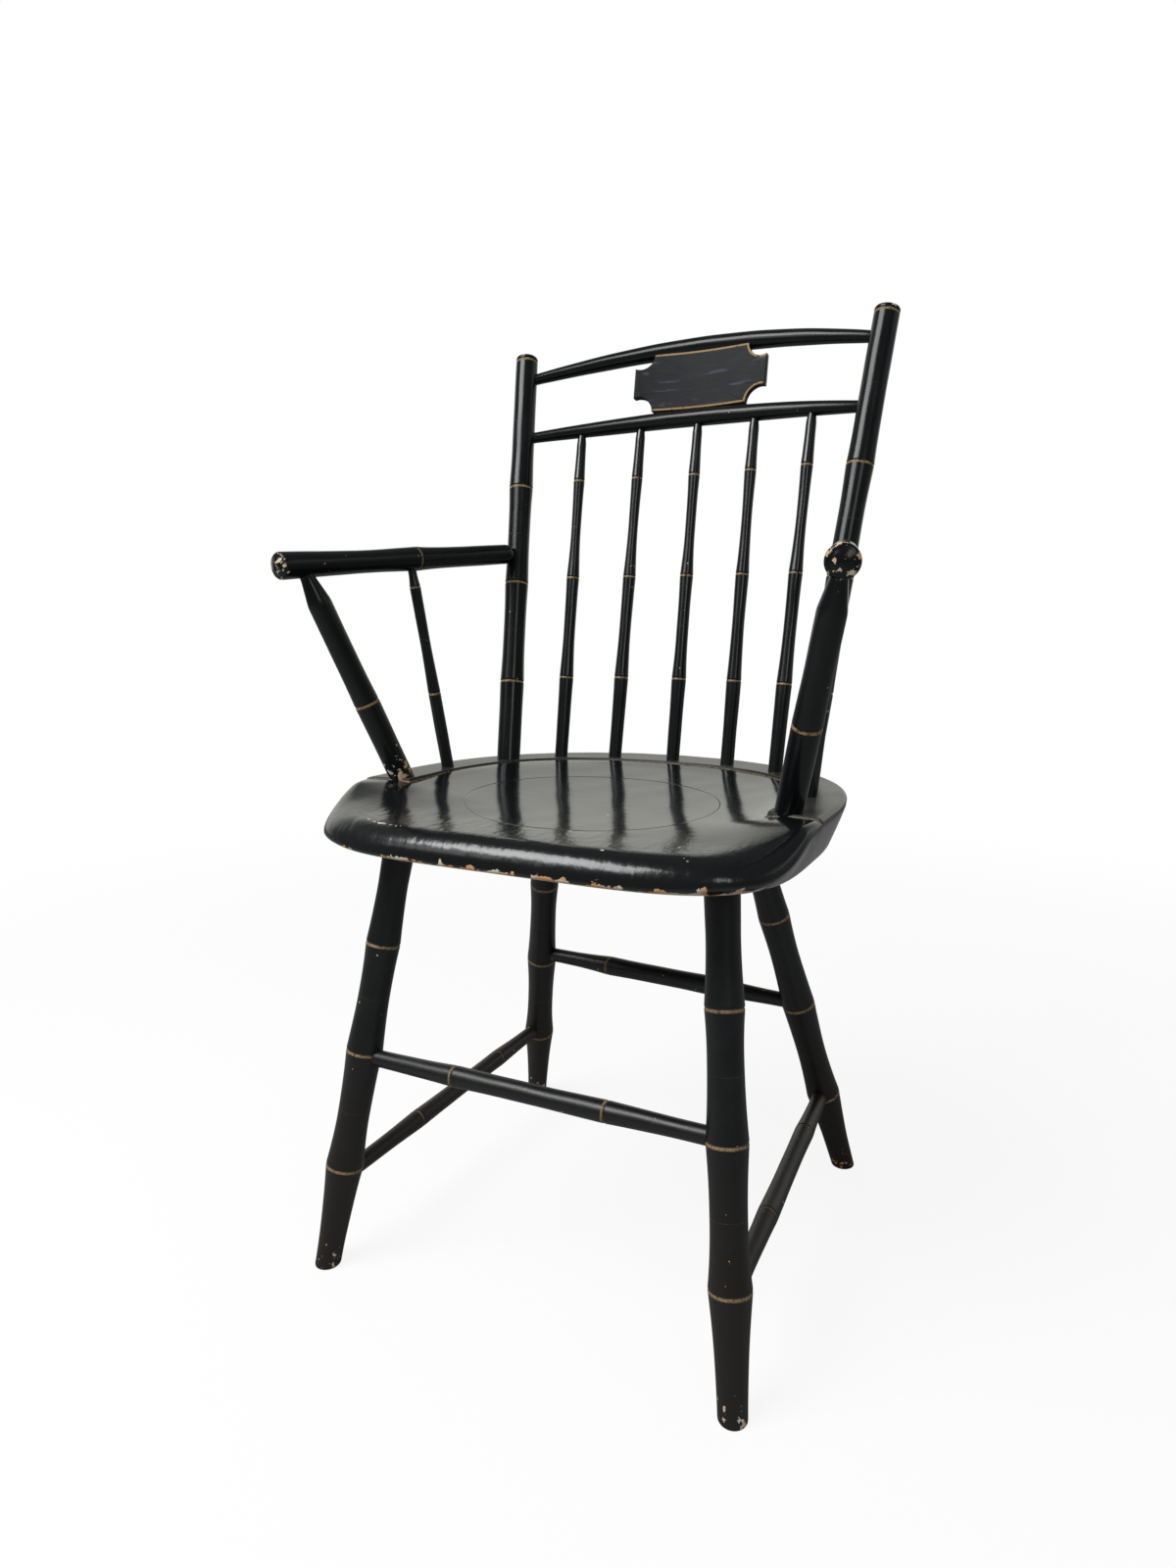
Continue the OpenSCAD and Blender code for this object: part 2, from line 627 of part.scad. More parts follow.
// An arm post: a ring near the seat, a shoulder below the arm and a cone to its tenon
module arm_post(side) {
    head = arm_at(arm_post_s, side);
    foot = arm_post_foot(side);
    l = norm(head - foot);
    cone_top = l - arm_front_r - fit_gap;
    color(paint) along(foot, head - foot) turned(bamboo([
        [-deck_socket, arm_post_base_r, 0],
        [arm_post_base_r, arm_post_base_r, 0],
        [arm_post_ring_s, arm_post_ring_r, 1],
        [arm_post_waist_s, arm_post_waist_r, 0],
        [cone_top - arm_post_cone_l, arm_post_shoulder_r, 0],
        [cone_top, arm_post_tenon_r, 0],
        [l + past_axis, arm_post_tenon_r, 0]]));
}

// An arm spindle with two rings
module arm_spindle(side) {
    head = arm_at(arm_spindle_s, side);
    foot = arm_spindle_foot(side);
    l = norm(head - foot);
    s = arm_spindle_ring_s;
    color(paint) along(foot, head - foot) turned(bamboo([
        [-deck_socket, arm_spindle_base_r, 0],
        [arm_spindle_base_r, arm_spindle_base_r, 0],
        [s[0], arm_spindle_ring_r[0], 1],
        [mix(s[0], s[1], 0.5), arm_spindle_waist_r, 0],
        [s[1], arm_spindle_ring_r[1], 1],
        [l - arm_ring_r - fit_gap, spindle_tenon_r, 0],
        [l + past_axis, spindle_tenon_r, 0]]));
}

seat();
leg(-1, true);  // leg_front_left
leg(1, true);  // leg_front_right
leg(-1, false);  // leg_rear_left
leg(1, false);  // leg_rear_right
stretcher_cross(true, stretcher_ring_r, stretcher_mid_r);  // stretcher_front
stretcher_cross(false, rear_ring_r, rear_mid_r);  // stretcher_rear
stretcher_side(-1);  // stretcher_left
stretcher_side(1);  // stretcher_right
post(-1);  // post_left
post(1);  // post_right
rail_lower();
rail_upper();
tablet();
spindle(-2);  // spindle_1
spindle(-1);  // spindle_2
spindle(0);  // spindle_3
spindle(1);  // spindle_4
spindle(2);  // spindle_5
arm(-1);  // arm_left
arm(1);  // arm_right
arm_post(-1);  // arm_post_left
arm_post(1);  // arm_post_right
arm_spindle(-1);  // arm_spindle_left
arm_spindle(1);  // arm_spindle_right
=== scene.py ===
import math
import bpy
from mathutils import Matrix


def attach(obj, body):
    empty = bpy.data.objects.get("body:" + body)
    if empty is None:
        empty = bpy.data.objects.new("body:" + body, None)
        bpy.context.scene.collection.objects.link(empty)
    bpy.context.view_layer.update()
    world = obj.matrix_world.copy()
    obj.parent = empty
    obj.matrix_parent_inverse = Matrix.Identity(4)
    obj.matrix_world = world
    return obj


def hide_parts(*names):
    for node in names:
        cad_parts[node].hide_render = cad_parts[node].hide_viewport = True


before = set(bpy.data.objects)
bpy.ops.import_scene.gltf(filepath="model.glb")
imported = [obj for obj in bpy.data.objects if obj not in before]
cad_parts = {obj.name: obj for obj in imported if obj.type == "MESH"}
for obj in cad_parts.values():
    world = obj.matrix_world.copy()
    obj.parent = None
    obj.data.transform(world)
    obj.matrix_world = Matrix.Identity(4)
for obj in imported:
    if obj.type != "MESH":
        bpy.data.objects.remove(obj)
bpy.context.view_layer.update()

from types import SimpleNamespace

import bpy
import numpy as np
from bpy.props import FloatProperty, FloatVectorProperty, PointerProperty
from bpy.types import Operator, Panel, PropertyGroup
from mathutils import Matrix, Vector

bl_info = {
    "name": "Windsor armchair",
    "version": (1, 0, 0),
    "blender": (4, 5, 0),
    "location": "3D View > Sidebar > Chair",
    "description": "Painted surfaces, wear and studio for the bamboo-turned armchair",
    "category": "Object",
}

MM = 0.001
NO_RING = 99.0  # distance to a ring on a piece that has none
BELOW = 60.0  # distance to the gutter on the seat's sides and underside
NEVER = 1e9


# Sizes and colours

def length(name, description, millimetres):
    """A length property, given in millimetres and kept in metres."""
    return FloatProperty(name=name, description=description, default=millimetres * MM,
                         unit="LENGTH", subtype="DISTANCE", precision=4)


def angle(name, description, degrees):
    """An angle property, given in degrees."""
    return FloatProperty(name=name, description=description, default=math.radians(degrees),
                         unit="ROTATION", subtype="ANGLE", precision=3)


def share(name, description, value, low=0.0, high=1.0):
    """A share or strength with no unit."""
    return FloatProperty(name=name, description=description, default=value, min=low, max=high,
                         subtype="FACTOR")


def colour(name, description, red, green, blue):
    """A colour in linear light."""
    return FloatVectorProperty(name=name, description=description, size=3, min=0.0, max=1.0,
                               default=(red, green, blue), subtype="COLOR")


class CHAIR_PG_seat(PropertyGroup):
    height: length("Deck height", "Height of the flat rim that carries the back", 445)
    thick: length("Plank", "Thickness of the plank at the deck", 44)
    wide: length("Width", "Width at the widest line", 443)
    rear: length("Rear", "From the widest line to the rear edge", 237)
    front: length("Front", "From the widest line to the front edge", 168.5)
    mid_y: length("Widest line", "Place of the widest line along Y", -57.5)
    front_square: share("Front squareness", "Exponent of the front outline", 3.9, 2, 6)
    rear_square: share("Rear squareness", "Exponent of the rear edge", 2.05, 1.8, 3)
    side_square: share("Side squareness", "Exponent of the sides behind the widest line",
                       2.36, 1.8, 3)
    under_side: length("Side undercut", "How far the sides slope in to the underside", 14)
    under_front: length("Front undercut", "How far the front slopes in to the underside", 14)
    gutter_drop: length("Gutter drop", "Drop from the deck to the saddle", 2)
    bank: length("Bank", "The part of that drop that falls right at the gutter", 1.3)
    groove: length("Gutter groove", "Depth of the V groove in the gutter", 0.8)
    saddle_depth: length("Saddle", "Depth of the saddle's lowest line below the deck", 16.5)
    saddle_shift: length("Saddle shift", "Lowest line to the right of the middle", 30)
    saddle_low: length("Saddle low", "Lowest line before the widest line", 52.5)
    side_power: share("Side power", "Exponent of the saddle's rise toward the sides", 2.6, 1, 4)
    rear_power: share("Rear power", "Exponent of the saddle's rise toward the rear", 1.85, 1, 4)
    level_from: length("Levelling start",
                       "Where the sides' rise begins to fade, before the widest line", 34)
    level_to: length("Levelling end",
                     "Where the sides' rise has faded, before the widest line", 135)
    lip: length("Lip", "How much the saddle rises again toward the front roll", 0.9)
    crest_in: length("Crest inset", "Front edge back to where the roll begins", 23)
    crest_out: length("Crest reach", "How much wider the roll's line is than the gutter", 17)
    crest_square: share("Crest squareness", "Exponent of the roll's line", 3.85, 2, 6)
    roll_foot: share("Roll foot", "Height of the roll's widest line, as a share of the edge", 0.20)
    gutter_in: length("Gutter inset", "Flat deck on the saddle side of the spindle line", 15)
    corner_gap: length("Corner gap", "Arm post forward to the gutter's pointed corner", 7)
    corner_lean: share("Corner lean", "How much the gutter comes forward as it crosses the side",
                       0.2)
    rim_w: length("Rim width", "Width of the deck's rounded rim", 6)
    rim_h: length("Rim height", "Height of the deck's rounded rim", 4)
    deck_side: length("Deck side", "Side edge to the spindle line", 31)
    deck_rear: length("Deck rear", "Rear edge to the spindle line", 40.5)
    oval_a: length("Oval width", "Half width of the scribed oval", 118)
    oval_b: length("Oval depth", "Half depth of the scribed oval", 107)
    oval_back: length("Oval place", "Widest line back to the oval's middle", 3)


class CHAIR_PG_legs(PropertyGroup):
    front_side: length("Front socket side", "Side of the seat in to a front socket", 68)
    front_back: length("Front socket back", "Front edge of the seat back to a front socket", 92)
    front_out: length("Front splay X", "Front foot outside its socket", 45)
    front_fore: length("Front splay Y", "Front foot ahead of its socket", 75.5)
    rear_side: length("Rear socket side", "Side of the seat in to a rear socket", 110)
    rear_fore: length("Rear socket fore", "Rear edge of the seat forward to a rear socket", 118)
    rear_out: length("Rear splay X", "Rear foot outside its socket", 84)
    rear_back: length("Rear splay Y", "Rear foot behind its socket", 116)
    top_r: length("Top radius", "Radius where a leg enters the seat", 14.3)
    foot_r: length("Foot radius", "Radius at the foot", 11.6)
    low_z: length("Low ring", "Height of the lowest ring", 94.5)
    mid_z: length("Middle ring", "Height of the middle ring", 202.5)
    top_z: length("Top ring", "Height of the top ring", 302)
    front_bar_z: length("Front stretcher", "Height of the front stretcher", 200.5)
    rear_bar_z: length("Rear stretcher", "Height of the rear stretcher", 206)
    side_bar_front_z: length("Side stretcher front", "Height at the front legs", 85)
    side_bar_rear_z: length("Side stretcher rear", "Height at the rear legs", 97.5)
    cross_uneven: length("Cross tilt", "Front and rear stretcher ends off level", 3)
    side_uneven: length("Side tilt", "Side stretcher ends off their mean height", 2)
    bar_end_r: length("Tenon radius", "Radius of a stretcher's tenons", 7.7)
    bar_ring_r: length("Ring radius", "Radius at the rings of front and side stretchers", 9.4)
    rear_bar_ring_r: length("Rear ring radius", "Radius at the rings of the rear stretcher", 10.5)


class CHAIR_PG_back(PropertyGroup):
    post_side: length("Post side", "Side of the seat in to a post", 58.5)
    lean: angle("Lean", "Backward lean of the back", 13.9)
    splay: angle("Splay", "Outward lean of each post", 4.5)
    post_l: length("Post", "Length of a post above the deck", 455)
    post_base_r: length("Post base", "Radius of a post at the seat", 12.4)
    lower_s: length("Lower rail", "Height of the lower rail along the post", 359.5)
    upper_s: length("Upper rail", "Height of the upper rail along the post", 426)
    bow: length("Bow", "How far the rails bow backward", 47)
    lower_rise: length("Lower rise", "Rise of the lower rail at its middle", 15)
    upper_rise: length("Upper rise", "Rise of the upper rail at its middle", 26.5)
    rail_end_r: length("Rail end", "Radius of a rail's tenons", 5.7)
    lower_r: length("Lower radius", "Radius of the lower rail at its middle", 9.1)
    upper_r: length("Upper radius", "Radius of the upper rail at its middle", 9.4)
    pitch: length("Pitch", "Spacing of the spindles at the deck", 61.5)
    top_pitch: length("Top pitch", "Spacing of the spindles at the lower rail", 64.5)
    spindle_base_r: length("Spindle base", "Radius of a spindle at the seat", 7)
    spindle_top_r: length("Spindle top", "Radius of the tenon at a spindle's top", 3.9)
    tablet_w: length("Tablet width", "Width of the tablet", 148)
    tablet_t: length("Tablet thickness", "Thickness of the tablet", 8)
    scoop: length("Scoop", "Radius of the tablet's scooped corners", 15.5)
    scoop_in: length("Scoop inset", "Ends of the tablet in to the centres of its scoops", 5.5)
    tablet_low: length("Tablet low", "Lower rail's axis up to the lower edge", 9.5)
    tablet_high: length("Tablet high", "Upper rail's axis down to the top edge", 6)
    face_low: length("Face low", "Lower rail's axis forward to the face", 4)
    face_high: length("Face high", "Upper rail's axis forward to the face", 7)


class CHAIR_PG_arms(PropertyGroup):
    join_s: length("Arm height", "Height of the left arm along the post", 229)
    out: length("Arm out", "Front end outside the side of the seat", 24)
    back: length("Arm back", "Front edge of the seat back to the front end", 46.5)
    rise: length("Arm rise", "Left arm's axis above the deck at its front end", 195.5)
    uneven: length("Uneven", "How much lower the right arm stands", 9)
    front_r: length("Front radius", "Radius at the front end", 12.2)
    tenon_r: length("Tenon radius", "Radius of the tenon in the post", 7)
    post_y: length("Arm post Y", "Arm post along Y, at the deck", -84)
    post_base_r: length("Arm post base", "Radius of an arm post at the seat", 11.5)
    post_top_r: length("Arm post top", "Radius of the tenon at an arm post's top", 6.5)
    post_s: length("Arm post place", "Front end of the arm to the arm post", 27)
    spindle_y: length("Arm spindle Y", "Arm spindle along Y, at the deck", -10.5)
    spindle_s: length("Arm spindle place", "Front end of the arm to the arm spindle", 153.5)


class CHAIR_PG_paint(PropertyGroup):
    black: colour("Black", "Old black paint", 0.0042, 0.0050, 0.0054)
    brown: colour("Brown black", "Dull brown-black paint near the floor", 0.0100, 0.0075, 0.0050)
    slate: colour("Slate", "The tablet's face", 0.0075, 0.0085, 0.0115)
    gilt: colour("Gilt", "Ochre of the ring lines", 0.300, 0.200, 0.092)
    wood: colour("Bare wood", "Wood and primer in the chips", 0.560, 0.300, 0.130)
    cream: colour("Cream", "Pale specks and worn primer", 0.620, 0.550, 0.420)
    groove_w: length("Ring width", "Width of the incised rings", 2.4)
    groove_d: length("Ring depth", "Depth of the incised rings", 0.6)
    deck: colour("Deck", "Dull paint of the deck and the seat's sides", 0.026, 0.027, 0.025)
    gloss: share("Roughness", "Roughness of the upper paint", 0.24)
    leg_gloss: share("Leg roughness", "Roughness of the paint on the legs", 0.38)
    seat_gloss: share("Seat roughness", "Roughness of the seat paint", 0.13)


class CHAIR_PG_stage(PropertyGroup):
    eye_x: length("Camera X", "Camera place along X", 389.07)
    eye_y: length("Camera Y", "Camera place along Y", -821.67)
    eye_z: length("Camera Z", "Camera place along Z", 595.11)
    azimuth: angle("Azimuth", "Camera direction round the chair", 27.0)
    elevation: angle("Elevation", "Camera direction above the horizon", 10.13)
    roll: angle("Roll", "Camera roll", -0.03)
    focal_px: share("Focal length", "Focal length in pixels of the 1200 by 1600 image",
                    982.36, 100, 5000)
    centre_px: share("Image centre X", "Principal point across, in pixels", 601.26, 0, 1200)
    centre_py: share("Image centre Y", "Principal point down, in pixels", 807.10, 0, 1600)
    floor: colour("Floor", "Plain pale floor", 0.35, 0.35, 0.35)
    whiteness: share("Floor whiteness", "How much of the floor the camera sees as plain white",
                     0.88)
    back_white: share("Backdrop", "Brightness of the backdrop in the paint's gloss", 0.86, 0, 2)
    backdrop: colour("Backdrop tint", "Colour of the backdrop in the paint's gloss", 1.0, 1.0, 0.93)
    room: share("Room", "Brightness of the room before the chair in the paint's gloss", 0.14, 0, 2)
    ambient: share("Ambient", "Even light from all sides", 0.4, 0, 2)
    ceiling: share("Ceiling light", "Power of the light above the chair", 46, 0, 500)
    window: share("Window light", "Power of the window at the left", 2.6, 0, 500)
    side_window: share("Side window", "Power of the window at the right", 3, 0, 500)


GROUPS = {"seat": CHAIR_PG_seat, "legs": CHAIR_PG_legs, "back": CHAIR_PG_back,
          "arms": CHAIR_PG_arms, "paint": CHAIR_PG_paint, "stage": CHAIR_PG_stage}


def sizes(name):
    """The values of one property group, with lengths in millimetres and angles in radians."""
    group = getattr(bpy.context.scene, "chair_" + name)
    found = SimpleNamespace()
    for key in GROUPS[name].__annotations__:
        value, rule = getattr(group, key), group.bl_rna.properties[key]
        if rule.unit == "LENGTH":
            value = value / MM
        elif rule.is_array:
            value = tuple(value)
        setattr(found, key, value)
    return found


# Geometry helpers, in millimetres

def unit(v):
    return np.asarray(v, float) / np.linalg.norm(v)


def units(v):
    """Rows of vectors, each divided by its length."""
    return v / np.linalg.norm(v, axis=1)[:, None]


def mix(a, b, t):
    return a + (b - a) * t


def flip(p, side):
    return np.array([p[0] * side, p[1], p[2]], float)


def ramp(v, a, b):
    """0 below a, 1 above b, and 3tt - 2ttt between them."""
    t = np.clip((v - a) / (b - a), 0, 1)
    return t * t * (3 - 2 * t)


def bell(v, width):
    """exp(-(v / width) squared)."""
    return np.exp(-(v / width) ** 2)


def across(direction):
    """Two unit vectors square to a direction, as the world's X and Y tip over to it untwisted."""
    turn = Vector((0, 0, 1)).rotation_difference(Vector(unit(direction)))
    return np.array(turn @ Vector((1, 0, 0))), np.array(turn @ Vector((0, 1, 0)))


def show(name, data):
    """A new object of the scene that holds the data."""
    piece = bpy.data.objects.new(name, data)
    bpy.context.scene.collection.objects.link(piece)
    return piece


def shell(name, rings, fields):
    """A closed mesh from rings of points, an array of rows by columns by 3 in millimetres: each
    ring joins the next by quads, and each end ring is closed by a fan to its mean. Fields are point
    attributes, arrays of rows by columns, or by 3 for vectors."""
    rows, columns = rings.shape[:2]

    def with_poles(values):
        flat = values.reshape(rows, columns, -1)
        return np.vstack([flat.reshape(rows * columns, -1), flat[0].mean(0), flat[-1].mean(0)])

    i = np.arange(rows - 1)[:, None] * columns
    j = np.arange(columns)[None, :]
    k = (j + 1) % columns
    quads = np.stack([i + j, i + k, i + columns + k, i + columns + j], -1).reshape(-1, 4)
    low, high, last = rows * columns, rows * columns + 1, (rows - 1) * columns
    j, k = j.ravel(), k.ravel()
    fans = np.vstack([np.stack([np.full_like(j, low), k, j], -1),
                      np.stack([np.full_like(j, high), last + j, last + k], -1)])
    corners = np.concatenate([quads.ravel(), fans.ravel()]).astype(np.int32)
    starts = np.concatenate([np.arange(len(quads)) * 4, quads.size + np.arange(len(fans)) * 3])
    points = with_poles(rings) * MM
    mesh = bpy.data.meshes.new(name)
    mesh.vertices.add(len(points))
    mesh.vertices.foreach_set("co", points.astype(np.float32).ravel())
    mesh.loops.add(len(corners))
    mesh.loops.foreach_set("vertex_index", corners)
    mesh.polygons.add(len(starts))
    mesh.polygons.foreach_set("loop_start", starts.astype(np.int32))
    mesh.update(calc_edges=True)
    mesh.shade_smooth()
    for key, values in fields.items():
        kind, slot = ("FLOAT_VECTOR", "vector") if values.ndim == 3 else ("FLOAT", "value")
        data = mesh.attributes.new(key, kind, "POINT").data
        data.foreach_set(slot, with_poles(values).astype(np.float32).ravel())
    return show(name, mesh)


def dress(piece, node, material):
    """The piece takes a CAD node's place: it rides on the chair's body and hides the node."""
    piece.data.materials.append(material)
    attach(piece, "root")
    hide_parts(node)


# Turned pieces

PATTERN_SHIFT = np.array([0.31, 0.17, 0.23])  # metres, so that no two pieces show the same wear


def bamboo(points, s, groove_w, groove_d):
    """Radius of a bamboo turning at the places s. Points are (place, radius, ring): between a ring
    and a waist the radius follows a parabola that lies level at the waist, and each ring has a
    groove of depth times (1.15 - |d| / half width), held between 0 and 1."""
    place, radius, ring = (np.array(column, float) for column in zip(*points))
    i = np.clip(np.searchsorted(place, s, side="right") - 1, 0, len(place) - 2)
    u = np.clip((s - place[i]) / (place[i + 1] - place[i]), 0, 1)
    down, up = ring[i] > ring[i + 1], ring[i] < ring[i + 1]
    k = np.where(down, (1 - u) ** 2, np.where(up, 1 - u ** 2, 1 - u))
    near = np.abs(ring_distance(points, s))
    return mix(radius[i + 1], radius[i], k) - groove_d * np.clip(1.15 - near / (groove_w / 2), 0, 1)


def ring_distance(points, s):
    """Distance from the places s to the nearest ring, positive above it."""
    rings = np.array([place for place, radius, ring in points if ring])
    gaps = s[:, None] - rings[None, :]
    return gaps[np.arange(len(s)), np.abs(gaps).argmin(1)]


def places(points, low, high, coarse=3.0, fine=0.35, reach=3.2):
    """Places along a turning: every coarse step, and every fine step near a ring."""
    s = np.arange(low, high, coarse)
    rings = [place for place, radius, ring in points if ring]
    for ring in rings:
        s = s[np.abs(s - ring) > reach]
    close = [ring + np.arange(-reach, reach + fine / 2, fine) for ring in rings]
    s = np.concatenate([s, *close, [high]])
    return np.unique(np.round(s[(s >= low) & (s <= high)], 4))


def rings_and_waists(ring_s, ring_r, waist_r, waist_share):
    """Points that alternate a ring and the waist above it, which lies at its share of the way to
    the next place in ring_s."""
    points = []
    for i, radius in enumerate(waist_r):
        points += [(ring_s[i], ring_r[i], 1),
                   (mix(ring_s[i], ring_s[i + 1], waist_share[i]), radius, 0)]
    return points


def standing(radius):
    """Points of an end that stands in the seat, straight to a radius above it."""
    return [(-10, radius, 0), (radius, radius, 0)]


def foot_rim(r_end, edge=2.0, steps=5):
    """Places and radii of a flat foot with a rounded rim: r - edge (1 - sin t) at
    edge (1 - cos t)."""
    t = np.linspace(0, np.pi / 2, steps)[:-1]
    r = r_end - edge * (1 - np.sin(t))
    flat = np.linspace(0.15, 1, 4)[:-1] * r[0]
    return np.append(0 * flat, edge * (1 - np.cos(t))), np.append(flat, r)


def crown(top, r_end, rim=2.2, dome=1.2, steps=7):
    """Places and radii of a low crown: a quarter-round rim, then a dome that rises as
    1 - (r / R) squared."""
    t = np.linspace(0, np.pi / 2, steps)
    edge_r = r_end - rim * (1 - np.cos(t))
    edge_s = top - dome - rim * (1 - np.sin(t))
    inner = np.linspace(1, 0.12, 6)[1:] * edge_r[-1]
    inner_s = top - dome + dome * (1 - (inner / edge_r[-1]) ** 2)
    return np.concatenate([edge_s, inner_s]), np.concatenate([edge_r, inner])


def wobble(s, angle_around, number):
    """Hand work: a turning's radius strays by a tenth of a millimetre or so, as a sum of two slow
    waves along and around the piece."""
    a = 0.11 * np.sin(s / 23 + number) * np.sin(angle_around + 1.7 * number)
    b = 0.07 * np.sin(s / 9.1 + 2.3 * number) * np.sin(2 * angle_around + number)
    return a + b


def turning(name, foot, direction, s, r, near, number, wear, sides, level):
    """A turned piece: rings of radius r at the places s along its axis. Where level is given, the
    lower rings lean into the floor: each point slides along the axis by -r (e . z) / (d . z), which
    fades out over that length, so that the foot is cut level."""
    d = unit(direction)
    u, v = across(d)
    around = np.linspace(0, 2 * np.pi, sides, endpoint=False)
    e = np.cos(around)[:, None] * u + np.sin(around)[:, None] * v
    uneven = wobble(s[:, None], around[None, :], number)
    radius = r[:, None] + np.where(r > 3, 1, 0)[:, None] * uneven
    along = np.broadcast_to(s[:, None], radius.shape).copy()
    if level is not None:
        fade = 1 - ramp(s - s[0], 4, level)
        along -= fade[:, None] * radius * (e @ [0, 0, 1])[None, :] / d[2]
    rings = np.asarray(foot) + along[..., None] * d + radius[..., None] * e[None]
    local = np.stack([radius * np.cos(around), radius * np.sin(around), along], -1) * MM
    fields = {"local": local + PATTERN_SHIFT * number,
              "ring": np.broadcast_to(near[:, None], radius.shape),
              "wear": np.broadcast_to(wear[:, None], radius.shape)}
    return shell(name, rings, fields)


# Places of the joints

DECK_SQUARE = 2.5


class Chair:
    """Where the axes of the chair's pieces lie, worked out from the sizes as the CAD model does."""

    def __init__(self):
        self.seat, self.legs, self.back, self.arms = (
            sizes(key) for key in ("seat", "legs", "back", "arms"))
        seat, legs, back = self.seat, self.legs, self.back
        self.side = seat.wide / 2
        self.front_y = seat.mid_y - seat.front
        self.rear_y = seat.mid_y + seat.rear
        self.bottom = seat.height - seat.thick
        self.deck_a = self.side - seat.deck_side
        self.deck_b = seat.rear - seat.deck_rear
        self.gutter_a = self.deck_a - seat.gutter_in
        self.gutter_b = self.deck_b - seat.gutter_in
        self.post_dir = unit([math.tan(back.splay), math.tan(back.lean), 1])
        post_x = self.side - back.post_side
        self.post_foot = np.array([post_x, self.deck_y(post_x), seat.height])
        self.lower_end = self.post_foot + self.post_dir * back.lower_s
        self.upper_end = self.post_foot + self.post_dir * back.upper_s
        front = np.array([self.side - legs.front_side, self.front_y + legs.front_back, self.bottom])
        rear = np.array([self.side - legs.rear_side, self.rear_y - legs.rear_fore, self.bottom])
        self.heads = {True: front, False: rear}
        self.feet = {True: front + [legs.front_out, -legs.front_fore, -self.bottom],
                     False: rear + [legs.rear_out, legs.rear_back, -self.bottom]}

    def deck_y(self, x):
        """Y of the spindle line, a superellipse, at x."""
        share_x = min(1, abs(x) / self.deck_a)
        return self.seat.mid_y + self.deck_b * (1 - share_x ** DECK_SQUARE) ** (1 / DECK_SQUARE)

    def deck_x(self, y):
        """X of the spindle line at y."""
        share_y = max(0.0, y - self.seat.mid_y) / self.deck_b
        return self.deck_a * (1 - share_y ** DECK_SQUARE) ** (1 / DECK_SQUARE)

    def bar_end(self, front, side, height, uneven):
        """Where a stretcher meets a leg's axis, one end above its height and the other below."""
        z = height + (side if front else -side) * uneven
        return flip(mix(self.feet[front], self.heads[front], z / self.bottom), side)

    def rail(self, end, rise, x):
        """A rail's axis: a parabola in plan and in rise between the post axes."""
        k = 1 - (np.asarray(x, float) / end[0]) ** 2
        return np.stack([x + 0 * k, end[1] + self.back.bow * k, end[2] + rise * k], -1)

    def rail_r(self, end, middle_r, x, straight=14):
        """A rail's radius: a parabola between the straight tenons."""
        k = np.maximum(0, 1 - (np.asarray(x) / (end[0] - straight)) ** 2)
        return mix(self.back.rail_end_r, middle_r, k)

    def arm_drop(self, side):
        return self.arms.uneven if side > 0 else 0

    def arm_front(self, side):
        arms = self.arms
        return np.array([side * (self.side + arms.out), self.front_y + arms.back,
                         self.seat.height + arms.rise - self.arm_drop(side)])

    def arm_rear(self, side):
        return flip(self.post_foot + self.post_dir * (self.arms.join_s - self.arm_drop(side)), side)

    def arm_at(self, side, s):
        front = self.arm_front(side)
        return front + unit(self.arm_rear(side) - front) * s


# Operators of the pieces

HANDS = ((-1, "left"), (1, "right"))
SPINDLE_GROOVE = (2.0, 0.45)

# Rings and waists of the turnings, in millimetres from the seat, from the foot of a leg or from the
# front end of an arm. A mark is (place, radius, 1 on a ring and 0 elsewhere).
LEG_RING_R = (17.3, 16.8, 15.8)
LEG_WAIST_R = (14.6, 14.3, 13.6)
LEG_WAIST_SHARE = (0.45, 0.63, 0.55)
BAR_RING_SHARE = (0.29, 0.71)
BAR_WAIST_R = 8.7
REAR_BAR_WAIST_R = 9.8
SIDE_BAR_SHIFT = 10
POST_RING_S = (85, 195, 303, 449)
POST_RING_R = (12.9, 12.8, 13.1, 12.1)
POST_WAIST_R = (11.9, 11.9, 12.2)
POST_WAIST_SHARE = (0.5, 0.5, 0.34)
SPINDLE_MARKS = ((88, 7.8, 1), (143.5, 6.4, 0), (199, 7.1, 1), (253, 5.3, 0), (307, 6.2, 1))
SPINDLE_NECK_R = 5.2
SPINDLE_SHIFTS = (2, -4, 1, 3, 0)
ARM_SHOULDER_IN = 12.8
ARM_MARKS = ((88, 10.6, 0), (161, 11.9, 1), (206, 10.4, 0))
ARM_POST_MARKS = ((79, 11.9, 1), (124, 11, 0))
ARM_POST_NECK_R = 10.9
ARM_SPINDLE_BASE_R = 6.2
ARM_SPINDLE_MARKS = ((77, 6.3, 1), (130.5, 5.2, 0), (184, 5.6, 1))
ARM_SPINDLE_NECK_R = 4.2
ARM_SPINDLE_NECK_DOWN = 11.9
ARM_SPINDLE_TOP_R = 3.9

SHOULDER = 7  # length of the slope from a neck down to a tenon
CONE = 24  # length of an arm post's cone
IN_SEAT = -8  # where the rings of a piece that stands in the seat begin
HEAD_GAP = 1  # from its last ring to its end


